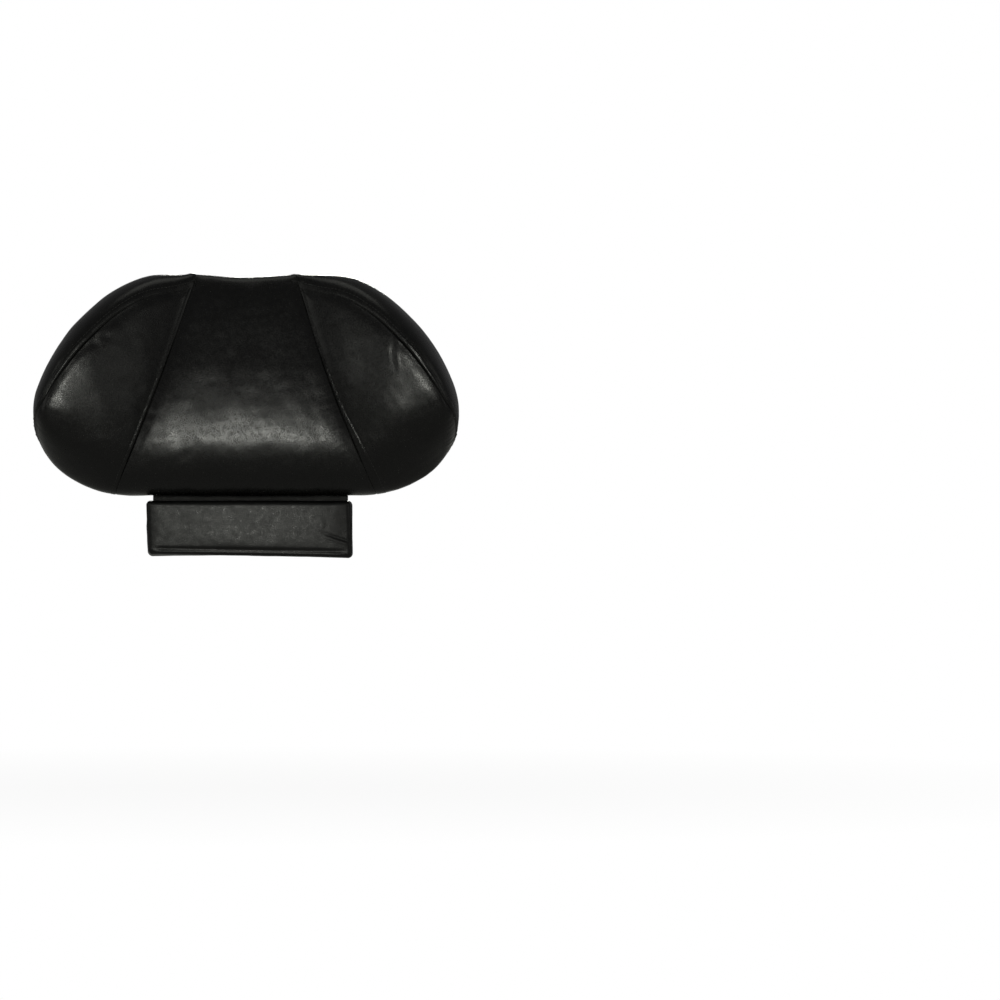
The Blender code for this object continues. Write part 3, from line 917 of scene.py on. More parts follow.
class Finishes:
    """Every finish of the backrest."""

    def __init__(self) -> None:
        """Choose colours, gloss and grain."""
        black, matt = (0.0032, 0.0032, 0.0030), (0.0055, 0.0055, 0.0052)
        self.cover = VinylFinish("black_grain_vinyl", black, (0.215, 0.33), 1.6, 0.3)
        self.lower = VinylFinish("black_grain_vinyl_lower", black, (0.31, 0.44), 1.6, 0.27)
        self.flap = VinylFinish("black_matt_vinyl", matt, (0.5, 0.65), 0.9, 0.25)
        tones = (0.010, 0.010, 0.010), (0.022, 0.022, 0.021)
        self.thread = SpeckFinish("black_thread", 0.25, 0.5, tones, (0.5, 0.75), (0.05 * MM, 0.8))
        tones = (0.72, 0.64, 0.44), (0.50, 0.42, 0.26)
        self.foam = SpeckFinish("moulded_foam", 0.9, 0.62, tones, (0.85, 0.98), (0.3 * MM, 0.9))
        self.plywood = PlywoodFinish("birch_plywood")
        tones = (0.66, 0.66, 0.63), (0.52, 0.52, 0.48)
        self.steel = SpeckFinish(
            "zinc_plated_steel", 2.2, 0.56, tones, (0.28, 0.5), (0.02 * MM, 0.5), metallic=1.0
        )


def add_piece(
    name: str,
    shape: Shape,
    finish: Finish,
    replaces: Sequence[str] = (),
    smooth: bool = True,
) -> bpy.types.Object:
    """Put a bmesh into the scene as a piece that rides on the frame.

    Args:
        name: The piece's name.
        shape: Its bmesh, which is freed.
        finish: Its finish.
        replaces: Nodes that it stands for.
        smooth: Whether it is shaded smooth.

    Returns:
        The new object.
    """
    mesh = bpy.data.meshes.new(name)
    shape.to_mesh(mesh)
    shape.free()
    mesh.polygons.foreach_set("use_smooth", np.full(len(mesh.polygons), smooth))
    mesh.materials.append(finish.material())
    piece = add_object(name, mesh)
    if replaces:
        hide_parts(*replaces)
    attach(piece, BODY)
    LOG.info("%s: %d faces", name, len(mesh.polygons))
    return piece


def add_wall(piece: bpy.types.Object, thickness: float) -> None:
    """Give an open sheet its thickness, on its inner side."""
    wall = piece.modifiers.new("wall", "SOLIDIFY")
    wall.thickness = thickness
    wall.offset = -1.0
    wall.use_even_offset = False
    wall.use_rim = True


@dataclass
class ClothPass:
    """Lets a smooth, padded form swell as sewn cloth between the lines that hold it down.

    The foam fills most of the cover already, so that only a share of the swelling is kept.
    """

    cell: float = 5.0 * MM
    pressure: float = 4.0
    slack: float = 0.004
    frames: int = 20
    kept: float = 0.10
    least: float = -0.4 * MM
    most: float = 0.9 * MM
    pin_reach: float = 6.0 * MM
    mass: float = 0.3
    stiffness: float = 12.0
    shear: float = 4.0
    bending: float = 0.6

    def settle(
        self, form: Shape, held: Sequence[SeamLine], rear: float, points: Array, normals: Array
    ) -> Array:
        """Swell a closed form and read how far its surface has moved at chosen points.

        Args:
            form: The closed form, which is freed.
            held: Seams that stay where they are.
            rear: Y past which the cloth is fixed to its board.
            points: Points on the form's surface.
            normals: Their normals.

        Returns:
            Heights over the smooth form.
        """
        bag = self.remesh(form)
        rest = self.places(bag.data)
        self.pin(bag, rest, held, rear)
        moved = self.run(bag)
        heights = self.carry(bag.data, rest, moved, points.reshape(-1, 3), normals.reshape(-1, 3))
        mesh = bag.data
        bpy.data.objects.remove(bag)
        bpy.data.meshes.remove(mesh)
        LOG.info("cloth: %d points, %.2f to %.2f mm", len(rest), heights.min() / MM, heights.max() / MM)
        return heights.reshape(points.shape[:-1])

    def remesh(self, form: Shape) -> bpy.types.Object:
        """A copy of the form in even cells."""
        mesh = bpy.data.meshes.new("cloth_form")
        form.to_mesh(mesh)
        form.free()
        bag = add_object("cloth_form", mesh)
        voxels = bag.modifiers.new("voxels", "REMESH")
        voxels.mode = "VOXEL"
        voxels.voxel_size = self.cell
        self.apply(bag)
        return bag

    @staticmethod
    def apply(bag: bpy.types.Object) -> None:
        """Make what the modifiers give the object's own mesh."""
        graph = bpy.context.evaluated_depsgraph_get()
        fresh = bpy.data.meshes.new_from_object(bag.evaluated_get(graph))
        old = bag.data
        bag.modifiers.clear()
        bag.data = fresh
        bpy.data.meshes.remove(old)

    @staticmethod
    def places(mesh: bpy.types.Mesh) -> Array:
        """The places of a mesh's points."""
        flat = np.empty(3 * len(mesh.vertices))
        mesh.vertices.foreach_get("co", flat)
        return flat.reshape(-1, 3)

    def pin(self, bag: bpy.types.Object, rest: Array, held: Sequence[SeamLine], rear: float) -> None:
        """Hold the points that lie on a seam or on the board."""
        weight = (rest[:, 1] > rear).astype(float)
        for line in held:
            distance, _ = line.measure(rest, 3.0 * self.pin_reach)
            weight = np.maximum(weight, 1.0 - step(distance, 0.6 * self.pin_reach, 1.6 * self.pin_reach))
        group = bag.vertex_groups.new(name="held")
        for number in np.flatnonzero(weight > 0.01):
            group.add([int(number)], float(weight[number]), "REPLACE")

    def run(self, bag: bpy.types.Object) -> Array:
        """Run the cloth and return where its points have gone."""
        cloth = bag.modifiers.new("cloth", "CLOTH")
        settings = {
            "quality": 5,
            "mass": self.mass,
            "tension_stiffness": self.stiffness,
            "compression_stiffness": self.stiffness,
            "shear_stiffness": self.shear,
            "bending_stiffness": self.bending,
            "use_pressure": True,
            "uniform_pressure_force": self.pressure,
            "shrink_min": -self.slack,
            "vertex_group_mass": "held",
        }
        for name, value in settings.items():
            setattr(cloth.settings, name, value)
        cloth.settings.effector_weights.gravity = 0.0
        cloth.point_cache.frame_start = 1
        cloth.point_cache.frame_end = self.frames
        scene = bpy.context.scene
        for frame in range(1, self.frames + 1):
            scene.frame_set(frame)
        graph = bpy.context.evaluated_depsgraph_get()
        found = self.places(bag.evaluated_get(graph).data)
        bag.modifiers.clear()
        scene.frame_set(1)
        return found

    def carry(self, mesh: bpy.types.Mesh, rest: Array, moved: Array, points: Array, normals: Array) -> Array:
        """Read the cloth's capped movement at points, from its nearest faces."""
        mesh.calc_loop_triangles()
        corners = np.empty(3 * len(mesh.loop_triangles), dtype=np.int32)
        mesh.loop_triangles.foreach_get("vertices", corners)
        corners = corners.reshape(-1, 3)
        tree = BVHTree.FromPolygons(rest.tolist(), corners.tolist())
        shift = moved - rest
        spots = np.empty(points.shape)
        faces = np.empty(len(points), dtype=int)
        for number, point in enumerate(points):
            spots[number], _, faces[number], _ = tree.find_nearest(point)
        a, b, c = (rest[corners[faces, corner]] for corner in range(3))
        area = np.linalg.norm(np.cross(b - a, c - a), axis=1) + 1e-15
        u = np.linalg.norm(np.cross(b - spots, c - spots), axis=1) / area
        v = np.linalg.norm(np.cross(c - spots, a - spots), axis=1) / area
        w = np.clip(1.0 - u - v, 0.0, 1.0)
        blend = u[:, None] * shift[corners[faces, 0]] + v[:, None] * shift[corners[faces, 1]]
        blend += w[:, None] * shift[corners[faces, 2]]
        heights = self.kept * (blend * normals).sum(axis=1)
        middle = 0.5 * (self.most + self.least)
        half = 0.5 * (self.most - self.least)
        return middle + half * np.tanh((heights - middle) / half)


# Dents and bumps: column and row in the photograph, then radius and height in millimetres
DENTS = (
    (91.0, 341.0, 3.6, 0.55),
    (97.0, 345.0, 4.5, -0.75),
    (103.0, 333.0, 3.2, 0.5),
    (108.0, 337.0, 4.2, -0.55),
    (282.0, 315.0, 1.3, 0.35),
    (286.5, 316.5, 1.6, -0.3),
    (398.0, 341.0, 3.0, 0.5),
)
# Nubs of the top edge where the darts end: column in the photograph, then radius and height in millimetres
NUBS = ((191.5, 4.5, 1.5), (295.0, 5.0, 0.9))


@dataclass
class MainCover:
    """The five sewn panels of the main pad's cover, with their seams, stitches and hems."""

    form: CushionForm
    finishes: Finishes
    vinyl: float = 1.2 * MM
    clearance: float = 0.4 * MM
    centre_columns: int = 70
    wing_columns: int = 116
    front_rows: int = 168
    gusset_rows: int = 26
    edge_rows: int = 20
    hem_rows: int = 9
    weld: float = 0.12 * MM
    seam_reach: float = 40 * MM
    cloth_thinning: int = 3
    held_rear: float = -0.006
    swell_fade: tuple[float, float] = (-0.014, -0.004)
    pleat: float = 0.55 * MM
    thread: float = 0.6 * MM
    thread_lift: float = 0.12 * MM
    stitch_share: float = 0.82
    staple_spacing: float = 19 * MM
    staple_inset: float = 11 * MM
    flap_half_width: float = 0.106
    darts: dict[Side, SeamStyle] = field(
        default_factory=lambda: {
            Side.LEFT: SeamStyle(seed=3),
            Side.RIGHT: SeamStyle(drift=4.2 * MM, drift_span=(0.10, 0.165), seed=4),
        }
    )
    gusset: SeamStyle = field(
        default_factory=lambda: SeamStyle(
            topstitch=5.6 * MM, ridge=0.7 * MM, pucker=0.26 * MM, pucker_reach=6.0 * MM, spill=0.45, seed=9
        )
    )

    def columns(self) -> Array:
        """Signed columns of the grid, drawn together at the seams."""
        inner = graded(self.centre_columns, 0.0, 0.75)
        outer = 1.0 + graded(self.wing_columns, 0.75, 0.35)
        half = np.concatenate([inner, outer[1:]])
        return np.concatenate([-half[:0:-1], half])

    def sections(self) -> list[tuple[Section, Array]]:
        """Each section with the shares of its rows."""
        hem = graded(self.hem_rows, 0.5, 0.0)
        edge = graded(self.edge_rows, 0.1, 0.6)
        front = graded(self.front_rows, 0.55, 0.7)
        gusset = graded(self.gusset_rows, 0.6, 0.35)
        return [
            (Section.FOOT_HEM, hem[::-1]),
            (Section.FOOT_EDGE, edge[::-1][1:]),
            (Section.FRONT, front[1:]),
            (Section.GUSSET, gusset[1:]),
            (Section.CROWN_EDGE, edge[1:]),
            (Section.CROWN_HEM, hem[1:]),
        ]

    def build(self) -> None:
        """Make the panels, the rows of stitches and the staples."""
        self.lay_grid()
        self.find_seams()
        lift = self.clearance + self.vinyl + self.relief() + self.swell()
        self.surface = self.base + self.normals * lift[..., None]
        self.round_rear(self.surface)
        self.add_panels(self.surface)
        self.add_stitches()
        self.add_staples()

    def lay_grid(self) -> None:
        """Work out the foam's surface and its normals on the grid."""
        columns = self.columns()
        parts, marks, shares = [], [], []
        for section, steps in self.sections():
            parts.append(self.form.points(columns, section, steps))
            marks += [section] * len(steps)
            shares += list(steps)
        self.base = np.concatenate(parts)
        self.marks = np.array([mark.value for mark in marks])
        self.shares = np.array(shares)
        self.column = columns
        self.normals = welded_normals(self.base)
        self.dart_at = {side: int(np.abs(columns - side.value).argmin()) for side in Side}
        self.seam_row = int(np.flatnonzero(self.marks == Section.FRONT.value)[-1])

    def find_seams(self) -> None:
        """Lay the seam lines along the grid."""
        self.dart_lines = {side: SeamLine(self.base[:, at]) for side, at in self.dart_at.items()}
        self.gusset_lines = {}
        crown = np.flatnonzero(self.marks >= Section.CROWN_EDGE.value)
        for side, at in self.dart_at.items():
            along = range(at, len(self.column)) if side is Side.RIGHT else range(at, -1, -1)
            row = self.base[self.seam_row, list(along)]
            self.gusset_lines[side] = SeamLine(np.concatenate([row, self.base[crown, along[-1]]]))

    def seams(self) -> Iterator[tuple[str, Side, SeamLine, SeamStyle, Array]]:
        """Each seam's kind, side, line and style, and the grid points on the side of its folded allowance."""
        rows = np.arange(len(self.marks))[:, None]
        for side in Side:
            wing = (np.abs(self.column) > 1.0) & (np.sign(self.column) == side.value)
            yield "dart", side, self.dart_lines[side], self.darts[side], wing & (rows <= self.seam_row)
            yield "gusset", side, self.gusset_lines[side], self.gusset, wing & (rows > self.seam_row)

    def swell(self) -> Array:
        """How far the foam pushes the cover out between its seams, from a run of cloth."""
        coarse = self.base[:: self.cloth_thinning, :: self.cloth_thinning]
        shape = grid_shape(coarse, np.ones((coarse.shape[0] - 1, coarse.shape[1] - 1), bool))
        bmesh.ops.remove_doubles(shape, verts=shape.verts, dist=0.3 * MM)
        close_rim(shape)
        held = [*self.dart_lines.values(), *self.gusset_lines.values()]
        found = ClothPass().settle(shape, held, self.held_rear, self.base, self.normals)
        return found * (1.0 - step(self.base[..., 1], *self.swell_fade))

    def relief(self) -> Array:
        """Height of the vinyl's outside over its even offset: seams, gathers and unevenness."""
        height = unevenness(self.base, (11, 0.055, 0.28 * MM), (12, 0.016, 0.06 * MM))
        level = self.base[..., 2] + BOLT_HEIGHT
        for kind, _, line, style, folded in self.seams():
            distance, along = line.measure(self.base, self.seam_reach)
            if kind == "dart":
                strength = 0.3 + 0.7 * step(level, 0.015, 0.045) * (1.0 - 0.9 * step(level, 0.120, 0.175))
                gather = strength
            else:
                share = along / line.length
                strength = 0.06 + 0.94 * step(share, 0.20, 0.42)
                gather = (0.7 + 0.6 * step(share, 0.35, 0.75)) * strength
            puckers = style.puckers(distance, along, gather)
            ridged = style.ridge_side(distance, along, strength) + puckers
            plain = style.plain_side(distance, strength) + style.spill * puckers
            height += np.where(folded, ridged, plain)
        return height + self.marks_of_the_hand() + self.hem_pleats()

    def marks_of_the_hand(self) -> Array:
        """Single dents, folds and nubs that the photograph shows."""
        x = self.base[..., 0]
        level = self.base[..., 2] + BOLT_HEIGHT
        front = self.base[..., 1] < -self.form.edge_line_depth
        height = np.zeros(x.shape)
        for px, py, size, rise in DENTS:
            away = np.hypot(x - photo_x(px), level - photo_level(py))
            height += np.where(front, rise * MM * bell(away, size * MM), 0.0)
        crease = x - photo_x(398.5) - 0.0012 * np.sin(level / 0.006)
        crease = bell(crease, 1.6 * MM) - bell(crease + 3.4 * MM, 2.4 * MM)
        height += np.where(front, 0.45 * MM * bell(level - photo_level(353.0), 14 * MM) * crease, 0.0)
        top = level > self.form.outline.height - 6 * MM
        for px, size, rise in NUBS:
            height += np.where(top, rise * MM * bell(x - photo_x(px), size * MM), 0.0)
        return height

    def hem_pleats(self) -> Array:
        """Pleats of the cover where it is folded onto the rear of the board."""
        height = np.zeros(self.base.shape[:2])
        size, sign = np.abs(self.column), np.sign(self.column)
        for section, lengths in (
            (Section.CROWN_HEM, self.form.crown(size)),
            (Section.FOOT_HEM, self.form.foot(size)),
        ):
            rows = np.flatnonzero(self.marks == section.value)
            phase = lengths * 2 * np.pi
            fold = np.sin(phase / 0.0125 + 2.0 * np.sin(phase / 0.071) + sign)
            fold = fold + 0.5 * np.sin(phase / 0.0067 + 1.3 * sign + 3.0 * np.sin(phase / 0.093))
            height[rows] += self.pleat * self.shares[rows][:, None] * np.maximum(fold, -0.2)
        return height

    def round_rear(self, surface: Array) -> None:
        """Soften the fold of the cover round the rear edge of the board."""
        soft = np.zeros(len(self.marks), bool)
        for section in (Section.CROWN_EDGE, Section.FOOT_EDGE):
            soft |= (self.marks == section.value) & (self.shares > 0.93)
        for section in (Section.CROWN_HEM, Section.FOOT_HEM):
            soft |= (self.marks == section.value) & (self.shares < 0.12)
        rows = np.flatnonzero(soft)
        for _ in range(3):
            surface[rows] = 0.5 * surface[rows] + 0.25 * (surface[rows - 1] + surface[rows + 1])

    def add_panels(self, surface: Array) -> None:
        """Cut the surface into its five panels."""
        size = np.abs(self.column)
        middle = 0.5 * (size[1:] + size[:-1])[None, :]
        sign = np.sign(self.column[1:] + self.column[:-1])[None, :]
        rows = np.arange(len(self.marks) - 1)[:, None]
        cuts = {"centre": (middle <= 1.0) & (rows >= 0)}
        for kind, across in (("wing", rows < self.seam_row), ("gusset", rows >= self.seam_row)):
            for side in Side:
                cuts[f"{kind}_{side.word}"] = (middle > 1.0) & (sign == side.value) & across
        for name, keep in cuts.items():
            shape = grid_shape(surface, keep)
            bmesh.ops.remove_doubles(shape, verts=shape.verts, dist=self.weld)
            replaced = [f"main_cover_{name}"]
            piece = add_piece(f"cover_panel_{name}", shape, self.finishes.cover, replaced)
            add_wall(piece, self.vinyl)

    def stitch_places(
        self, line: SeamLine, style: SeamStyle, mask: Array
    ) -> list[tuple[Vector, Vector, Vector]]:
        """Where the stitches of a topstitched row lie.

        Args:
            line: The seam beside the row.
            style: The seam's style.
            mask: The grid points on the row's side of the seam.

        Returns:
            Each stitch's middle, direction and normal.
        """
        points = self.base[mask]
        distance, along = line.measure(points, 20 * MM)
        surface = self.surface[mask]
        normals = self.normals[mask]
        row = style.row(along)
        near = np.abs(distance - row) < 1.3 * MM
        off, along, surface, normals = (distance - row)[near], along[near], surface[near], normals[near]
        places = []
        middles = []
        for centre in np.arange(2.0 * style.pitch, line.length - style.pitch, style.pitch):
            weight = bell(along - centre, 1.6 * MM) * bell(off, 0.6 * MM)
            if weight.sum() < 0.3:
                continue
            weight = weight / weight.sum()
            middles.append(((surface * weight[:, None]).sum(axis=0), (normals * weight[:, None]).sum(axis=0)))
        for number, (spot, normal) in enumerate(middles):
            before = middles[max(number - 1, 0)][0]
            after = middles[min(number + 1, len(middles) - 1)][0]
            if np.linalg.norm(after - before) > 4 * style.pitch:
                continue
            places.append((Vector(spot), Vector(after - before).normalized(), Vector(normal).normalized()))
        return places

    def add_stitches(self) -> None:
        """Lay the rows of topstitches beside the seams."""
        outside = (self.marks > Section.FOOT_HEM.value) & (self.marks < Section.CROWN_HEM.value)
        for kind, side, line, style, folded in self.seams():
            shape = bmesh.new()
            length = self.stitch_share * style.pitch
            for spot, along, normal in self.stitch_places(line, style, folded & outside[:, None]):
                add_stitch(shape, spot + normal * self.thread_lift, along, normal, length, self.thread)
            add_piece(f"{kind}_stitches_{side.word}", shape, self.finishes.thread)

    def add_staples(self) -> None:
        """Drive staples through the hem, all round the rear of the board."""
        places = []
        rear = self.clearance + self.vinyl + 0.2 * MM
        inset = self.form.board_inset + self.staple_inset
        lengths = np.arange(0.5 * self.staple_spacing, self.form.outline.length, self.staple_spacing)
        spots, heading = self.form.outline.walk(lengths)
        for side in Side:
            for (x, level), turn in zip(spots, heading):
                x -= inset * math.sin(turn)
                level -= inset * math.cos(turn)
                if level < 0.04 and abs(x) < self.flap_half_width:
                    continue
                spot = Vector((side.value * x, rear, level - BOLT_HEIGHT))
                places.append((spot, Vector((side.value * math.cos(turn), 0.0, -math.sin(turn)))))
        add_staples("main_hem_staples", places, self.finishes.steel)


def welded_normals(points: Array) -> Array:
    """Normals of a grid of points, shared where grid points coincide.

    Args:
        points: An array of rows, columns and coordinates.

    Returns:
        Unit normals of the same shape, facing away from the cushion.
    """
    corners = (points[:-1, :-1], points[:-1, 1:], points[1:, 1:], points[1:, :-1])
    faces = np.cross(corners[2] - corners[0], corners[3] - corners[1])
    total = np.zeros(points.shape)
    for rows in (slice(None, -1), slice(1, None)):
        total[rows, :-1] += faces
        total[rows, 1:] += faces
    keys = np.round(points.reshape(-1, 3) / 2e-6).astype(np.int64)
    _, same = np.unique(keys, axis=0, return_inverse=True)
    same = same.ravel()
    sums = np.zeros((same.max() + 1, 3))
    np.add.at(sums, same, total.reshape(-1, 3))
    normals = unit(sums)[same].reshape(points.shape)
    rows, columns = points.shape[0] // 2, points.shape[1] // 2
    return normals if normals[rows, columns, 1] < 0.0 else -normals


def grid_shape(points: Array, keep: Array) -> Shape:
    """A bmesh grid laid through points, with only the faces that are kept.

    Args:
        points: An array of rows, columns and coordinates.
        keep: Which faces stay, by row and column.

    Returns:
        The new bmesh, its normals facing away from the cushion.
    """
    row_at, column_at = np.nonzero(keep)
    top, bottom = row_at.min(), row_at.max() + 1
    left, right = column_at.min(), column_at.max() + 1
    block = points[top : bottom + 1, left : right + 1]
    kept = keep[top:bottom, left:right]
    rows, columns = kept.shape
    shape = bmesh.new()
    bmesh.ops.create_grid(shape, x_segments=columns, y_segments=rows, size=1.0)
    set_points(shape, block.reshape(-1, 3))
    gone = [face for face, stays in zip(shape.faces, kept.ravel()) if not stays]
    if gone:
        bmesh.ops.delete(shape, geom=gone, context="FACES")
    return shape


def add_stitch(
    shape: Shape, spot: Vector, along: Vector, normal: Vector, length: float, width: float
) -> None:
    """Add one stitch, a slim bead of thread, to a shape."""
    across = normal.cross(along).normalized()
    turn = Matrix((along, across, normal)).transposed().to_4x4()
    size = Matrix.Diagonal((length / 2, width / 2, width / 2, 1.0))
    bead = bmesh.ops.create_uvsphere(shape, u_segments=6, v_segments=4, radius=1.0)
    tip = Matrix.Rotation(math.pi / 2, 4, "Y")
    bmesh.ops.transform(shape, matrix=Matrix.Translation(spot) @ turn @ size @ tip, verts=bead["verts"])


def add_staples(name: str, places: Sequence[tuple[Vector, Vector]], finish: Finish) -> None:
    """Make one piece of staples, each given as its spot and direction."""
    shape = bmesh.new()
    for spot, along in places:
        add_staple(shape, spot, along)
    add_piece(name, shape, finish, smooth=False)


def add_staple(shape: Shape, spot: Vector, along: Vector) -> None:
    """Add one staple to a shape: its crown on the vinyl and two legs in it."""
    width, wire, leg = 9.0 * MM, 0.8 * MM, 2.0 * MM
    outward = Vector((0.0, 1.0, 0.0))
    across = outward.cross(along).normalized()
    turn = Matrix((along, outward, across)).transposed().to_4x4()
    bars = [(0.0, 0.3 * wire, width, 0.7 * wire)]
    bars += [(end * (width - wire) / 2, -leg / 2, wire, leg) for end in (-1, 1)]
    for shift, depth, size_x, size_y in bars:
        bar = bmesh.ops.create_cube(shape, size=1.0)
        place = Matrix.Translation(spot) @ turn @ Matrix.Translation((shift, depth, 0.0))
        place = place @ Matrix.Diagonal((size_x, size_y, wire, 1.0))
        bmesh.ops.transform(shape, matrix=place, verts=bar["verts"])


def wrap_box(size: Vector, centre: Vector, radius: float, steps: tuple[int, int, int]) -> Shape:
    """An open-backed box with rounded edges, of even quads.

    Args:
        size: Outer size.
        centre: Middle of the box.
        radius: Radius of the edges.
        steps: Quads along X, Y and Z.

    Returns:
        The new bmesh, open at its rear.
    """
    shape = bmesh.new()
    count_x, count_y, count_z = steps
    quarter = math.pi / 2
    bend = 0.82 * quarter
    walls = (
        (count_x, count_z, (0, -1, 0), quarter, "X"),
        (count_x, count_y, (0, 0, 1), 0.0, "X"),
        (count_x, count_y, (0, 0, -1), math.pi, "X"),
        (count_z, count_y, (1, 0, 0), quarter, "Y"),
        (count_z, count_y, (-1, 0, 0), -quarter, "Y"),
    )
    for across, up, place, turn, axis in walls:
        matrix = Matrix.Translation(place) @ Matrix.Rotation(turn, 4, axis)
        bmesh.ops.create_grid(shape, x_segments=across, y_segments=up, size=1.0, matrix=matrix)
    bmesh.ops.remove_doubles(shape, verts=shape.verts, dist=1e-4)
    half = np.array(size) / 2
    flat = np.sin(get_points(shape) * bend) / math.sin(bend) * half
    inner = np.clip(flat, -(half - radius), half - radius)
    inner[:, 1] = np.maximum(flat[:, 1], -half[1] + radius)
    off = flat - inner
    length = np.linalg.norm(off, axis=1, keepdims=True)
    kept = np.minimum(np.abs(off).max(axis=1, keepdims=True), radius)
    flat = np.where(length > TINY, inner + off / np.maximum(length, TINY) * kept, flat)
    set_points(shape, flat + np.array(centre))
    bmesh.ops.recalc_face_normals(shape, faces=shape.faces)
    shape.normal_update()
    return shape


@dataclass
class LowerPad:
    """The slim lower pad: its cover, foam and hem."""

    finishes: Finishes
    crown: float = 3.3 * MM
    width: float = 0.205
    height: float = 0.056
    depth: float = 0.033
    drop: float = 0.0065
    shift: float = 0.003
    corner: float = 5.0 * MM
    vinyl: float = 1.2 * MM
    clearance: float = 0.4 * MM
    board: float = 0.009
    hem: float = 0.013
    shear_x: float = -0.036
    shear_z: float = -0.018
    staple_inset: float = 8.0 * MM
    staple_spacing: float = 18.0 * MM

    @property
    def centre(self) -> Vector:
        """Middle of the pad's rear plane."""
        return Vector((self.shift, 0.0, -self.drop - self.height / 2 - BOLT_HEIGHT))

    def build(self) -> None:
        """Make the cover, the foam and the staples."""
        self.add_cover()
        self.add_foam()
        self.add_staples()

    def add_cover(self) -> None:
        """The cover: one sheet over the front and round the sides, gathered at its ends."""
        rear = self.clearance + self.vinyl
        size = Vector((self.width, self.depth + rear, self.height))
        middle = self.centre + Vector((0.0, (rear - self.depth) / 2, 0.0))
        shape = wrap_box(size, middle, self.corner, (190, 34, 62))
        points = get_points(shape)
        normals = np.array([vert.normal for vert in shape.verts])
        points = points + normals * self.relief(points, normals)[:, None]
        set_points(shape, points + self.warp(points))
        self.fold_hem(shape)
        piece = add_piece("lower_pad_cover", shape, self.finishes.lower, ["lower_cover"])
        add_wall(piece, self.vinyl)

    def relief(self, points: Array, normals: Array) -> Array:
        """Height of the cover over its even box: crown, rolled border, gathers and creases."""
        local = points - np.array(self.centre)
        x, y, z = local.T
        across = np.abs(x) / (self.width / 2)
        up = np.abs(z) / (self.height / 2)
        to_end = (1.0 - across) * self.width / 2
        to_side = (1.0 - up) * self.height / 2
        front = np.clip(-normals[:, 1], 0.0, 1.0)
        # The crown, flatter towards the bottom, and the rolled border along the bottom
        crown = self.crown * (1.0 - across**2.2) * (1.0 - np.where(z > 0.0, 0.3, 0.8) * up**4)
        inside = step(to_end, 4.0 * MM, 14.0 * MM) * (z < 0)
        roll = -0.62 * MM * bell(to_side - 6.6 * MM, 1.8 * MM) * inside
        roll += 0.45 * MM * bell(to_side - 2.8 * MM, 1.8 * MM) * inside
        # The soft fall at the left and the right end
        fade, fall = np.where(x < 0.0, [[11.0 * MM], [0.7 * MM]], [[26.0 * MM], [1.1 * MM]])
        roll -= fall * np.clip(1.0 - to_end / fade, 0.0, 1.0) ** 2
        # Gathers on the end faces
        ends = step(np.abs(normals[:, 0]), 0.25, 0.8)
        slant = y + 0.16 * z + 0.0012 * np.sin(z / 0.006)
        fold = np.cos((slant + 0.0175) * 2 * np.pi / 0.0105)
        fold = fold + 0.35 * np.sin(slant * 2 * np.pi / 0.0047 + 0.8) * np.cos(z / 0.017)
        within = step(-y, 0.001, 0.006) * (1.0 - step(-y, 0.026, 0.032))
        gathers = 0.7 * MM * ends * (fold - 0.7) * within * (1.0 - 0.6 * up**4)
        border = 0.05 * MM * bell(to_end - 4.0 * MM, 4.5 * MM) * np.sin(z * 2 * np.pi / 0.0082)
        # The crease and the pucker of the photograph
        place, level = points[:, 0], points[:, 2] + BOLT_HEIGHT
        crease = crease_line(place, level, (317.0, 530.5), (347.0, 540.0))
        pucker = 0.2 * MM * bell(np.hypot(place - photo_x(323.0), level + 0.0305), 2.2 * MM)
        waves = unevenness(points, (21, 0.03, 0.10 * MM), (22, 0.011, 0.03 * MM))
        waist = -0.9 * MM * (1.0 - front) * (1.0 - across**2) * step(np.abs(normals[:, 2]), 0.3, 0.9)
        return front * (crown + roll + border + crease + pucker) + gathers + waves + waist

    def warp(self, points: Array) -> Array:
        """Shifts of the pad's front, which hangs a little askew."""
        local = points - np.array(self.centre)
        share = step(-local[:, 1], 0.010, 0.024)
        lower = 0.5 - local[:, 2] / self.height
        shift = np.zeros(points.shape)
        shift[:, 0] = self.shear_x * local[:, 2] * share
        shift[:, 2] = self.shear_z * local[:, 0] * lower * share
        return shift

    def fold_hem(self, shape: Shape) -> None:
        """Fold the rear rim of the cover in over the back of the board."""
        middle = self.centre
        rear = self.clearance + self.vinyl
        rim = [edge for edge in shape.edges if edge.is_boundary]
        half = Vector((self.width / 2, 1.0, self.height / 2))
        folds = 7
        for number in range(1, folds + 1):
            made = bmesh.ops.extrude_edge_only(shape, edges=rim)["geom"]
            rim = [item for item in made if isinstance(item, bmesh.types.BMEdge) and item.is_boundary]
            for vert in made:
                if not isinstance(vert, bmesh.types.BMVert):
                    continue
                off = vert.co - middle
                vert.co.x -= self.hem / folds * off.x / half.x
                vert.co.z -= self.hem / folds * off.z / half.z
                turn = math.atan2(off.z / half.z, off.x / half.x)
                wave = max(math.sin(23.0 * turn + 2.0 * math.sin(5.0 * turn)), -0.2)
                vert.co.y = rear + 0.5 * MM * number / folds * wave
        bmesh.ops.recalc_face_normals(shape, faces=shape.faces)

    def add_foam(self) -> None:
        """The foam slab inside the cover."""
        inset = self.vinyl + 3 * self.clearance
        depth = self.depth - inset - self.board - self.clearance
        size = Vector((self.width - 2 * inset, depth, self.height - 2 * inset))
        middle = self.centre + Vector((0.0, -self.board - self.clearance - depth / 2, 0.0))
        shape = wrap_box(size, middle, self.corner - inset, (60, 8, 18))
        points = get_points(shape)
        set_points(shape, points + self.warp(points))
        close_rim(shape)
        piece = add_piece("lower_pad_foam", shape, self.finishes.foam, ["lower_foam"])

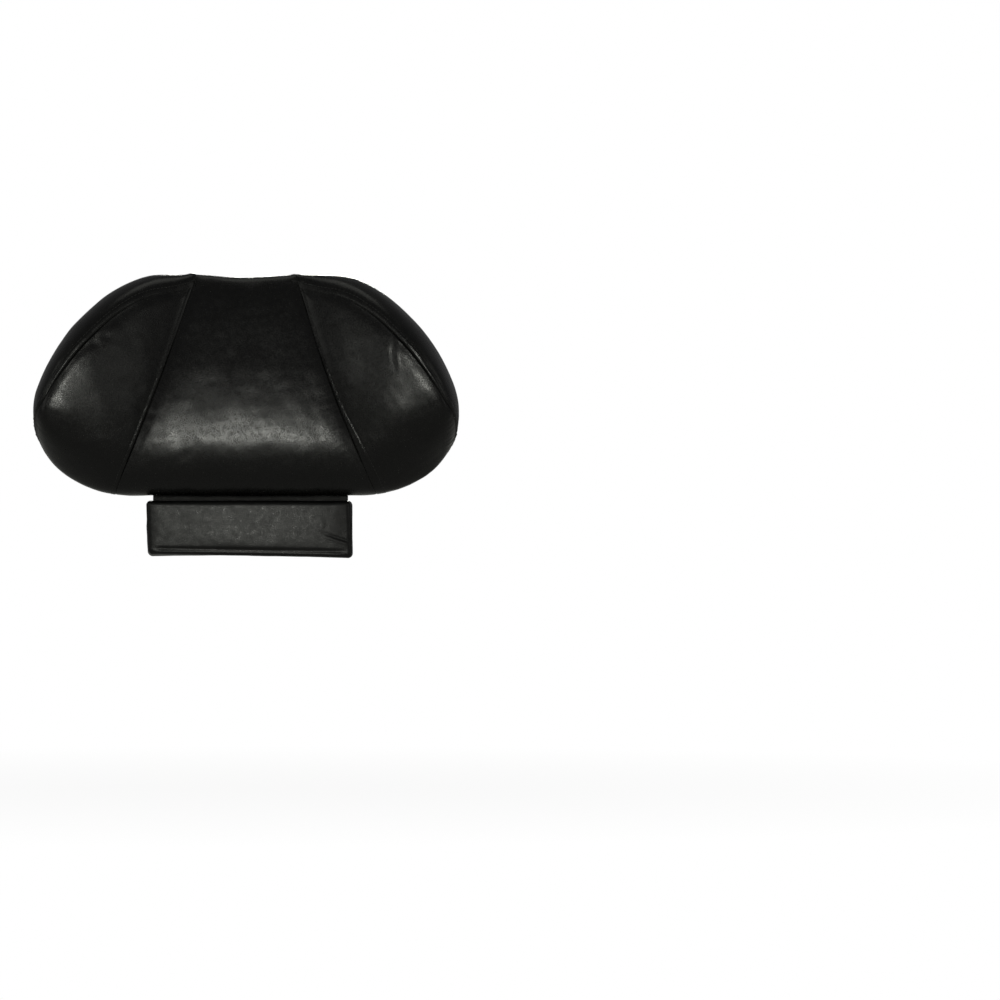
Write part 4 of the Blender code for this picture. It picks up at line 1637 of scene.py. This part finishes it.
    def add_staples(self) -> None:
        """Staples through the hem, on the three sides that the flap leaves free."""
        rear = self.clearance + self.vinyl
        end = self.width / 2 - self.staple_inset
        low = -self.height / 2 + self.staple_inset
        reach = end - 6 * MM
        rightward, upward = Vector((1.0, 0.0, 0.0)), Vector((0.0, 0.0, 1.0))
        row = np.arange(-reach, reach + 1e-6, self.staple_spacing)
        places = [(self.centre + Vector((x, rear, low)), rightward) for x in row]
        for side in Side:
            for level in (-0.008, 0.006):
                places.append((self.centre + Vector((side.value * end, rear, level)), upward))
        add_staples("lower_hem_staples", places, self.finishes.steel)


def crease_line(
    x: Array, level: Array, start: tuple[float, float], end: tuple[float, float]
) -> Array:
    """A sharp little fold between two pixels of the frontal view, as a height.

    Args:
        x: X of the points.
        level: Their heights above the main pad's bottom edge.
        start: Pixel where it starts, shallow.
        end: Pixel where it ends, deep.

    Returns:
        Heights.
    """
    begin = np.array([photo_x(start[0]), photo_level(start[1])])
    run = np.array([photo_x(end[0]), photo_level(end[1])]) - begin
    length = float(np.linalg.norm(run))
    run = run / length
    along = (x - begin[0]) * run[0] + (level - begin[1]) * run[1]
    off = (level - begin[1]) * run[0] - (x - begin[0]) * run[1]
    reach = step(along, -2 * MM, 0.7 * length) * (1.0 - step(along, 0.95 * length, length + 3 * MM))
    return 0.75 * MM * reach * (0.5 * bell(off + 2.4 * MM, 1.9 * MM) - bell(off, 1.1 * MM))


@dataclass
class MainFoam:
    """The moulded foam under the main cover."""

    form: CushionForm
    finishes: Finishes
    rear_gap: float = 0.0094
    slack: float = 0.2 * MM

    def build(self) -> None:
        """Make the foam as one closed body."""
        rear_share = 1.0 - self.rear_gap / self.form.edge_line_depth
        columns = np.concatenate([-np.linspace(2.0, 0.0, 61)[:-1], np.linspace(0.0, 2.0, 61)])
        parts = []
        for section, shares in (
            (Section.FOOT_EDGE, np.linspace(rear_share, 0.0, 7)),
            (Section.FRONT, graded(60, 0.5, 0.3)[1:]),
            (Section.GUSSET, np.linspace(0.0, 1.0, 7)[1:]),
            (Section.CROWN_EDGE, np.linspace(0.0, rear_share, 7)[1:]),
        ):
            parts.append(self.form.points(columns, section, shares))
        base = np.concatenate(parts)
        normals = welded_normals(base)
        base = base + normals * (unevenness(base, (31, 0.02, 0.12 * MM)) - self.slack)[..., None]
        shape = grid_shape(base, np.ones((base.shape[0] - 1, base.shape[1] - 1), bool))
        bmesh.ops.remove_doubles(shape, verts=shape.verts, dist=0.05 * MM)
        close_rim(shape)
        piece = add_piece("main_pad_foam", shape, self.finishes.foam, ["main_foam"])


@dataclass
class Flap:
    """The strip of vinyl that joins the rear hems of the two covers."""

    finishes: Finishes
    columns: int = 120
    rows: int = 30
    free_from: float = -0.008
    free_span: float = 0.016
    width: float = 0.196
    shift: float = 0.003
    top: float = 0.026
    bottom: float = -0.0197
    front: float = 2.0 * MM
    thickness: float = 1.2 * MM

    def build(self) -> None:
        """Make the strip and the staples that hold it."""
        shape = bmesh.new()
        bmesh.ops.create_grid(shape, x_segments=self.columns, y_segments=self.rows, size=0.5)
        for vert in shape.verts:
            across, up = vert.co.x, vert.co.y + 0.5
            x = self.shift + self.width * across
            level = self.bottom + (self.top - self.bottom) * up
            free = math.sin(math.pi * min(max((level - self.free_from) / self.free_span, 0.0), 1.0))
            wave = 0.35 * MM * math.sin(x / 0.013) * math.sin(level / 0.006)
            vert.co = Vector((x, self.front + self.thickness + wave * free, level - BOLT_HEIGHT))
        bmesh.ops.recalc_face_normals(shape, faces=shape.faces)
        shape.faces.ensure_lookup_table()
        if shape.faces[0].normal.y < 0.0:
            bmesh.ops.reverse_faces(shape, faces=shape.faces)
        piece = add_piece("joining_flap", shape, self.finishes.flap, ["connecting_flap"])
        add_wall(piece, self.thickness)
        self.add_staples()

    def add_staples(self) -> None:
        """Two rows of staples through the strip."""
        depth, rightward = self.front + self.thickness, Vector((1.0, 0.0, 0.0))
        places = []
        for level in (self.top - 6 * MM, self.bottom + 5 * MM):
            for x in np.linspace(-0.45, 0.45, 9) * self.width + self.shift:
                places.append((Vector((x, depth, level - BOLT_HEIGHT)), rightward))
        add_staples("flap_staples", places, self.finishes.steel)


@dataclass
class Studio:
    """Camera, lamps, floor and backdrop."""

    distance: float = 6.0
    centre: Vector = field(default_factory=lambda: Vector((0.2538, 0.0, -0.111)))
    floor_level: float = -0.40
    lamp_colour: Colour = (0.99, 1.0, 0.92)

    def build(self) -> None:
        """Set the studio up. Each lamp has its place, width, height and power in watts."""
        self.add_camera()
        self.add_world()
        self.add_floor()
        for name, place, width, height, power in (
            ("front", (-0.12, -2.6, 0.0), 0.36, 0.22, 14.3),
            ("front_left", (-1.5, -2.3, 0.2), 0.5, 0.5, 1.9),
            ("front_right", (1.15, -2.4, 0.2), 0.5, 0.5, 1.0),
            ("top", (0.0, -0.2, 2.2), 1.6, 1.0, 5.0),
            ("left", (-2.4, -0.9, 0.6), 1.2, 1.6, 4.0),
            ("right", (2.4, -0.9, 0.6), 1.2, 1.6, 4.0),
            ("rear", (0.0, 2.6, 0.5), 0.36, 1.0, 22.0),
        ):
            self.add_lamp(name, Vector(place), width, height, power)

    def add_camera(self) -> None:
        """A long lens, square on, at the photograph's place."""
        data = bpy.data.cameras.new("camera")
        data.sensor_width = 36.0
        data.lens = data.sensor_width * (self.distance - 0.03)
        data.clip_end = 50.0
        camera = add_object("camera", data)
        camera.location = self.centre + Vector((0.0, -self.distance, 0.0))
        camera.rotation_euler = (math.pi / 2, 0.0, 0.0)
        bpy.context.scene.camera = camera

    def add_world(self) -> None:
        """An even grey surround that the camera sees as white."""
        world = bpy.data.worlds.new("studio")
        bpy.context.scene.world = world
        world.use_nodes = True
        tree = Tree(world.node_tree)
        back = world.node_tree.nodes["Background"]
        rays = tree.add("LightPath")
        seen = tree.math("MULTIPLY_ADD", rays.outputs["Is Glossy Ray"], 0.03, rays.outputs["Is Camera Ray"])
        tone = tree.blend(seen, (0.12, 0.12, 0.12), (1.0, 1.0, 1.0))
        tree.fill(back, Color=tone, Strength=1.0)
        bpy.context.scene.view_settings.view_transform = "Standard"

    def add_floor(self) -> None:
        """A pale floor well below the pad."""
        shape = bmesh.new()
        bmesh.ops.create_circle(shape, cap_ends=True, segments=96, radius=9.0)
        mesh = bpy.data.meshes.new("floor")
        bmesh.ops.translate(shape, verts=shape.verts, vec=(0.0, 0.0, self.floor_level))
        shape.to_mesh(mesh)
        shape.free()
        floor = add_object("floor", mesh)
        material = bpy.data.materials.new("pale_floor")
        material.use_nodes = True
        tree = Tree(material.node_tree)
        nodes = material.node_tree.nodes
        shader = nodes["Principled BSDF"]
        tree.fill(shader, Base_Color=(0.70, 0.70, 0.69, 1.0), Roughness=0.9, Specular_IOR_Level=0.0)
        glow = tree.add("Emission", Strength=1.0)
        rays = tree.add("LightPath")
        away = tree.add("VectorMath", operation="LENGTH", Vector=tree.add("TexCoord").outputs["Object"])
        white = tree.remap(away.outputs["Value"], 0.35, 1.1, 0.93, 1.0)
        mix = tree.add("MixShader")
        seen = tree.math("MULTIPLY", rays.outputs["Is Camera Ray"], white)
        for socket, value in zip(mix.inputs, (seen, shader.outputs[0], glow.outputs[0])):
            tree.feed(socket, value)
        tree.fill(nodes["Material Output"], Surface=mix.outputs[0])
        mesh.materials.append(material)

    def add_lamp(self, name: str, place: Vector, width: float, height: float, power: float) -> None:
        """A soft box that points at the origin.

        Args:
            name: The lamp's name.
            place: Where it stands.
            width: Its width.
            height: Its height.
            power: Its power in watts.
        """
        data = bpy.data.lights.new(name, "AREA")
        data.shape = "RECTANGLE"
        data.size, data.size_y = width, height
        data.energy = power
        data.color = self.lamp_colour
        lamp = add_object(name, data)
        lamp.location = place
        lamp.rotation_euler = (-place).to_track_quat("-Z", "Y").to_euler()


def dress_nodes(nodes: dict[str, bpy.types.Object], finishes: Finishes) -> None:
    """Give the boards and tee nuts of the frame their finishes."""
    for name, node in nodes.items():
        for mark, finish in (("_board", finishes.plywood), ("_tee_nut", finishes.steel)):
            if mark in name:
                node.data.materials.clear()
                node.data.materials.append(finish.material())
                LOG.info("%s: %s", name, finish.name)


def main() -> None:
    """Build the dressed backrest in its studio."""
    logging.basicConfig(level=logging.INFO, format="%(name)s: %(message)s")
    for item in list(bpy.data.objects):
        bpy.data.objects.remove(item)
    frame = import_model()
    finishes = Finishes()
    form = CushionForm()
    Studio().build()
    dress_nodes(frame["nodes"], finishes)
    MainFoam(form, finishes).build()
    MainCover(form, finishes).build()
    LowerPad(finishes).build()
    Flap(finishes).build()


if __name__ == "__main__":
    main()
